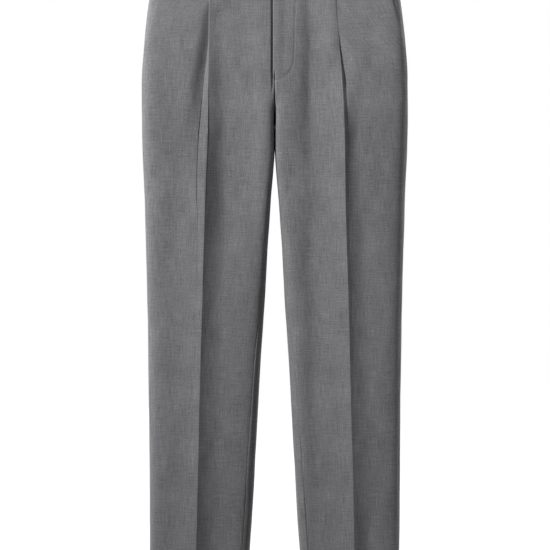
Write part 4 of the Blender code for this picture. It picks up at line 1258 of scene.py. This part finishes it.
class TROUSERS_OT_fly(bpy.types.Operator):
    """Make the shield and the closed zip behind the fly"""

    bl_idname = "trousers.fly"
    bl_label = "Fly shield and zip"

    def execute(self, context):
        wool = finish_of("worsted_wool", worsted_wool, context.scene.trousers_sizes)
        tape = finish_of("polyester_tape", polyester_tape)
        shield = self.strip("cloth_fly_shield", SHIELD, SHIELD_DEPTH, CLOTH, wool)
        settle(shield, "wool", "fly_shield")
        for name, strips, depth in (("right", TAPE_RIGHT, TAPE_RIGHT_DEPTH),
                                    ("left", TAPE_LEFT, TAPE_LEFT_DEPTH)):
            half = self.strip(f"cloth_zip_tape_{name}", strips, depth, TAPE_WALL, tape)
            settle(half, "zip_tape", "zip")
        settle(self.chain(), "zip_tape", "zip")
        nickel = finish_of("nickel_plate", nickel_plate)
        for node in ("zip_slider", "zip_pull"):
            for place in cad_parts[node].material_slots:
                place.material = nickel
        return {"FINISHED"}

    def strip(self, name, strips, depth, wall, material):
        """Flat piece of an even depth behind the fly."""
        def strip_row(height, _):
            ring = ring_at(height)
            start = ring.at_front_x(column(strips, "x_to", height))
            size = ring.at_front_x(column(strips, "x_from", height)) - start
            away = spaced(size, FAR[-2::-1], STRIP_COLUMNS, FAR)
            shares = edge_share(np.minimum(away, size - away), wall)
            return ring.points_at(start + away, -depth), shares

        heights = wall_heights(strips[0].height, strips[-1].height, STRIP_ROWS)
        return cut_panel(name, heights, strip_row, wall, 1, material)

    def chain(self):
        """Coils of the closed chain, laid across both tapes."""
        heights = np.linspace(TAPE_LEFT[0].height, TAPE_LEFT[-1].height, CHAIN_POINTS)
        points = np.vstack([ring.points_at([ring.at_front_x(CHAIN_X)], -CHAIN_DEPTH)
                            for ring in map(ring_at, heights)])
        lay = np.column_stack((-points[:, 4], points[:, 3], np.zeros(len(points))))
        coil = finish_of("moulded_coil", polyester_thread, "#3c3d40")
        return stitch_row("zip_chain", points[:, :3], lay, *COIL, coil)


class TROUSERS_OT_button(bpy.types.Operator):
    """Make the waistband's button, its thread and its buttonhole"""

    bl_idname = "trousers.button"
    bl_label = "Button and buttonhole"

    def execute(self, context):
        sizes = context.scene.trousers_sizes
        horn = finish_of("polished_horn", polished_horn)
        thread = finish_of("button_thread", polyester_thread, "#57575a")
        place = self.place()
        mesh = self.drilled(self.turned("button_blank"))
        mesh.transform(place)
        button = add_piece("waistband_button_horn", mesh, horn)
        settle(button, "button_horn", "waistband_button")
        for k in range(2):
            self.sew(k, place, thread, sizes)
        self.buttonhole(thread, sizes)
        return {"FINISHED"}

    def place(self):
        """Where the button lies, facing out from the band."""
        ring = ring_at(0.0)
        length = ring.at_front_x(BUTTON_X)
        back = BAND_PROUD + BAND_WALL / 2 + BUTTON_STAND
        x, y, z, nx, ny = ring.points_at([length], back)[0]
        ends = [ring_at(height).points_at([length], 0.0)[0][1] for height in (BAND_BOTTOM, BAND_TOP)]
        lean = (ends[0] - ends[1]) / (BAND_TOP - BAND_BOTTOM) * ny
        outward = Vector((nx, ny, lean)).normalized()
        return Matrix.Translation((x, y, z)) @ outward.to_track_quat("Z", "Y").to_matrix().to_4x4()

    def turned(self, name):
        """Button blank turned from its outline."""
        mesh = bpy.data.meshes.new(name)
        work = bmesh.new()
        corners = [work.verts.new((part.radius * BUTTON_RADIUS, 0.0, part.height * BUTTON_THICK))
                   for part in BUTTON]
        edges = [work.edges.new(pair) for pair in zip(corners, corners[1:])]
        bmesh.ops.spin(work, geom=corners + edges, axis=(0, 0, 1), cent=(0, 0, 0),
                       steps=BUTTON_STEPS, angle=2 * math.pi)
        bmesh.ops.remove_doubles(work, verts=work.verts, dist=1e-6)
        bmesh.ops.recalc_face_normals(work, faces=work.faces)
        work.to_mesh(mesh)
        work.free()
        return mesh

    def drilled(self, blank):
        """The blank with its four holes."""
        drills = bpy.data.meshes.new("button_drills")
        work = bmesh.new()
        for k in range(4):
            x, y = self.hole(k)
            bmesh.ops.create_cone(work, cap_ends=True, segments=HOLE_STEPS, radius1=BUTTON_HOLE,
                                  radius2=BUTTON_HOLE, depth=3 * BUTTON_THICK,
                                  matrix=Matrix.Translation((x, y, BUTTON_THICK / 2)))
        work.to_mesh(drills)
        work.free()
        pair = [bpy.data.objects.new(mesh.name, mesh) for mesh in (blank, drills)]
        for item in pair:
            bpy.context.scene.collection.objects.link(item)
        cut = pair[0].modifiers.new("holes", "BOOLEAN")
        cut.object = pair[1]
        graph = bpy.context.evaluated_depsgraph_get()
        mesh = bpy.data.meshes.new_from_object(pair[0].evaluated_get(graph))
        for item in pair:
            bpy.data.objects.remove(item)
        mesh.shade_smooth()
        mesh.set_sharp_from_angle(angle=math.radians(SHARP_ANGLE))
        return mesh

    def hole(self, k):
        """Place of a hole on the button."""
        angle = math.pi / 4 + k * math.pi / 2
        return BUTTON_HOLE_RING * math.cos(angle), BUTTON_HOLE_RING * math.sin(angle)

    def sew(self, k, place, thread, sizes):
        """Thread up through one hole, across the dish and down through the opposite one."""
        start = np.array((*self.hole(k), 0.0))
        end = np.array((*self.hole(k + 2), 0.0))
        over = BUTTON[0].height * BUTTON_THICK + THREADS_OVER[k] * sizes.thread
        corners = ((start, -BUTTON_STAND), (start, over - sizes.thread), (THREAD_BEND * start, over),
                   (THREAD_BEND * end, over), (end, over - sizes.thread), (end, -BUTTON_STAND))
        points = np.array([place @ Vector((*at[:2], height)) for at, height in corners])
        row = stitch_row(f"stitches_button_{k}", points, along_of(points), *BUTTON_STITCH,
                         BUTTON_THREAD * sizes.thread, thread)
        settle(row, "button_horn")

    def buttonhole(self, thread, sizes):
        """Close stitches on both sides of the slit, and a near-black thread row between them as painted
        shade for the slit.
        """
        band = bpy.data.objects["cloth_waistband_left"]
        xs = np.linspace(*BUTTONHOLE, BUTTONHOLE_POINTS)
        # Painted shade: a near-black thread stands in for the shadow inside the cut slit
        slit = finish_of("painted_slit_shade", polyester_thread, "#19191b")
        for name, z in (("upper", BUTTONHOLE_BEAD / 2), ("lower", -BUTTONHOLE_BEAD / 2)):
            points = laid_on(band, [(x, z) for x in xs], BUTTONHOLE_LIFT)
            across = np.tile((0.0, 0.0, 1.0), (len(points), 1))
            row = stitch_row(f"stitches_buttonhole_{name}", points, across,
                             BEAD_PITCH * sizes.thread, BEAD_LENGTH * BUTTONHOLE_BEAD,
                             BEAD_THREAD * sizes.thread, thread)
            settle(row, "wool")
        # Row of near-black thread along the slit, painted in place of its shade
        points = laid_on(band, [(x, 0.0) for x in xs])
        row = stitch_row("painted_shade_buttonhole_slit", points, along_of(points), *SLIT_SHADE_STITCH,
                         sizes.thread, slit)
        settle(row, "wool")


class TROUSERS_OT_stage(bpy.types.Operator):
    """Set up the floor, the lights and the camera"""

    bl_idname = "trousers.stage"
    bl_label = "Studio"

    def execute(self, context):
        stage = context.scene.trousers_stage
        self.floor()
        self.lights(stage)
        self.surroundings(context.scene, stage)
        self.camera(context.scene, stage)
        return {"FINISHED"}

    def floor(self):
        """Pale floor, below the hems."""
        mesh = bpy.data.meshes.new("floor")
        work = bmesh.new()
        bmesh.ops.create_circle(work, cap_ends=True, segments=96, radius=FLOOR_RADIUS,
                                matrix=Matrix.Translation((0.0, 0.0, HEM - FLOOR_DROP)))
        work.to_mesh(mesh)
        work.free()
        floor = add_piece("floor", mesh, finish_of("painted_board", painted_board))
        floor.visible_diffuse = False

    def lights(self, stage):
        """Soft key from the left, weaker towards the hems, and an even light from above."""
        key = bpy.data.lights.new("key", "SPOT")
        key.energy = stage.key
        key.spot_size = math.radians(KEY_CONE)
        key.spot_blend = 1.0
        key.shadow_soft_size = KEY_RADIUS
        places = [(key, KEY_BEARING, KEY_RISE)]
        for name, energy, bearing, rise in (("top", stage.top, 0.0, TOP_RISE),
                                            ("fill", stage.fill, FILL_BEARING, FILL_RISE)):
            sun = bpy.data.lights.new(name, "SUN")
            sun.energy = energy
            sun.angle = math.radians(BREADTH)
            places.append((sun, bearing, rise))
        for light, bearing, rise in places:
            lamp = bpy.data.objects.new(light.name, light)
            lamp.rotation_euler = (math.pi / 2 - math.radians(rise), 0.0, math.radians(bearing))
            away = Vector((0.0, 0.0, KEY_DISTANCE))
            away.rotate(lamp.rotation_euler)
            lamp.location = away + Vector((0.0, 0.0, KEY_HEIGHT))
            lamp.visible_camera = False
            bpy.context.scene.collection.objects.link(lamp)

    def surroundings(self, scene, stage):
        """White all round to look at, and a dimmer even light from it."""
        world = bpy.data.worlds.new("studio")
        world.use_nodes = True
        tree = world.node_tree
        tree.nodes.clear()
        path = add(tree, "ShaderNodeLightPath")
        seen = add(tree, "ShaderNodeBackground", {"Color": (1.0, 1.0, 1.0, 1.0), "Strength": 1.0})
        place = add(tree, "ShaderNodeTexCoord")
        parts = add(tree, "ShaderNodeSeparateXYZ", {"Vector": place.outputs["Generated"]})
        behind = add(tree, "ShaderNodeMapRange", {
            "Value": parts.outputs["Y"], "From Min": -WALL_EDGE, "From Max": WALL_EDGE,
            "To Min": stage.air, "To Max": stage.wall}, interpolation_type="SMOOTHSTEP")
        air = add(tree, "ShaderNodeBackground", {
            "Color": (1.0, 1.0, 1.0, 1.0), "Strength": behind.outputs["Result"]})
        both = add(tree, "ShaderNodeMixShader", {
            0: path.outputs["Is Camera Ray"], 1: air.outputs["Background"],
            2: seen.outputs["Background"]})
        add(tree, "ShaderNodeOutputWorld", {"Surface": both.outputs["Shader"]})
        scene.world = world
        scene.view_settings.view_transform = "Standard"

    def camera(self, scene, stage):
        """Level camera with a long lens, square on to the front."""
        lens = bpy.data.cameras.new("camera")
        lens.sensor_width = 36.0
        lens.lens = lens.sensor_width * stage.view_distance / stage.view_width
        camera = bpy.data.objects.new("camera", lens)
        camera.location = (stage.view_x, -stage.view_distance, stage.view_height)
        camera.rotation_euler = (math.pi / 2, 0.0, 0.0)
        scene.collection.objects.link(camera)
        scene.camera = camera


class TROUSERS_PT_panel(bpy.types.Panel):
    """Buttons for every piece"""

    bl_idname = "TROUSERS_PT_panel"
    bl_label = "Pleated Dress Trousers"
    bl_space_type = "VIEW_3D"
    bl_region_type = "UI"
    bl_category = "Trousers"

    def draw(self, context):
        layout = self.layout
        for settings in (context.scene.trousers_sizes, context.scene.trousers_stage):
            box = layout.box()
            for name in settings.bl_rna.properties.keys():
                if name not in ("rna_type", "name"):
                    box.prop(settings, name)
        for operator in OPERATORS:
            layout.operator(operator.bl_idname)


OPERATORS = (
    TROUSERS_OT_waistband,
    TROUSERS_OT_fronts,
    TROUSERS_OT_backs,
    TROUSERS_OT_pockets,
    TROUSERS_OT_fly,
    TROUSERS_OT_button,
    TROUSERS_OT_stage,
)
CLASSES = (TrousersSizes, TrousersStage, *OPERATORS, TROUSERS_PT_panel)


def register():
    """Register the classes and put the settings on the scene."""
    for item in CLASSES:
        bpy.utils.register_class(item)
    bpy.types.Scene.trousers_sizes = bpy.props.PointerProperty(type=TrousersSizes)
    bpy.types.Scene.trousers_stage = bpy.props.PointerProperty(type=TrousersStage)


def unregister():
    """Take the settings and the classes away again."""
    del bpy.types.Scene.trousers_stage
    del bpy.types.Scene.trousers_sizes
    for item in reversed(CLASSES):
        bpy.utils.unregister_class(item)


def main():
    """Make every piece, then the studio, and note the sizes."""
    register()
    bpy.ops.trousers.waistband()
    bpy.ops.trousers.fronts()
    bpy.ops.trousers.backs()
    bpy.ops.trousers.pockets()
    bpy.ops.trousers.fly()
    bpy.ops.trousers.button()
    bpy.ops.trousers.stage()


if __name__ == "__main__":
    main()
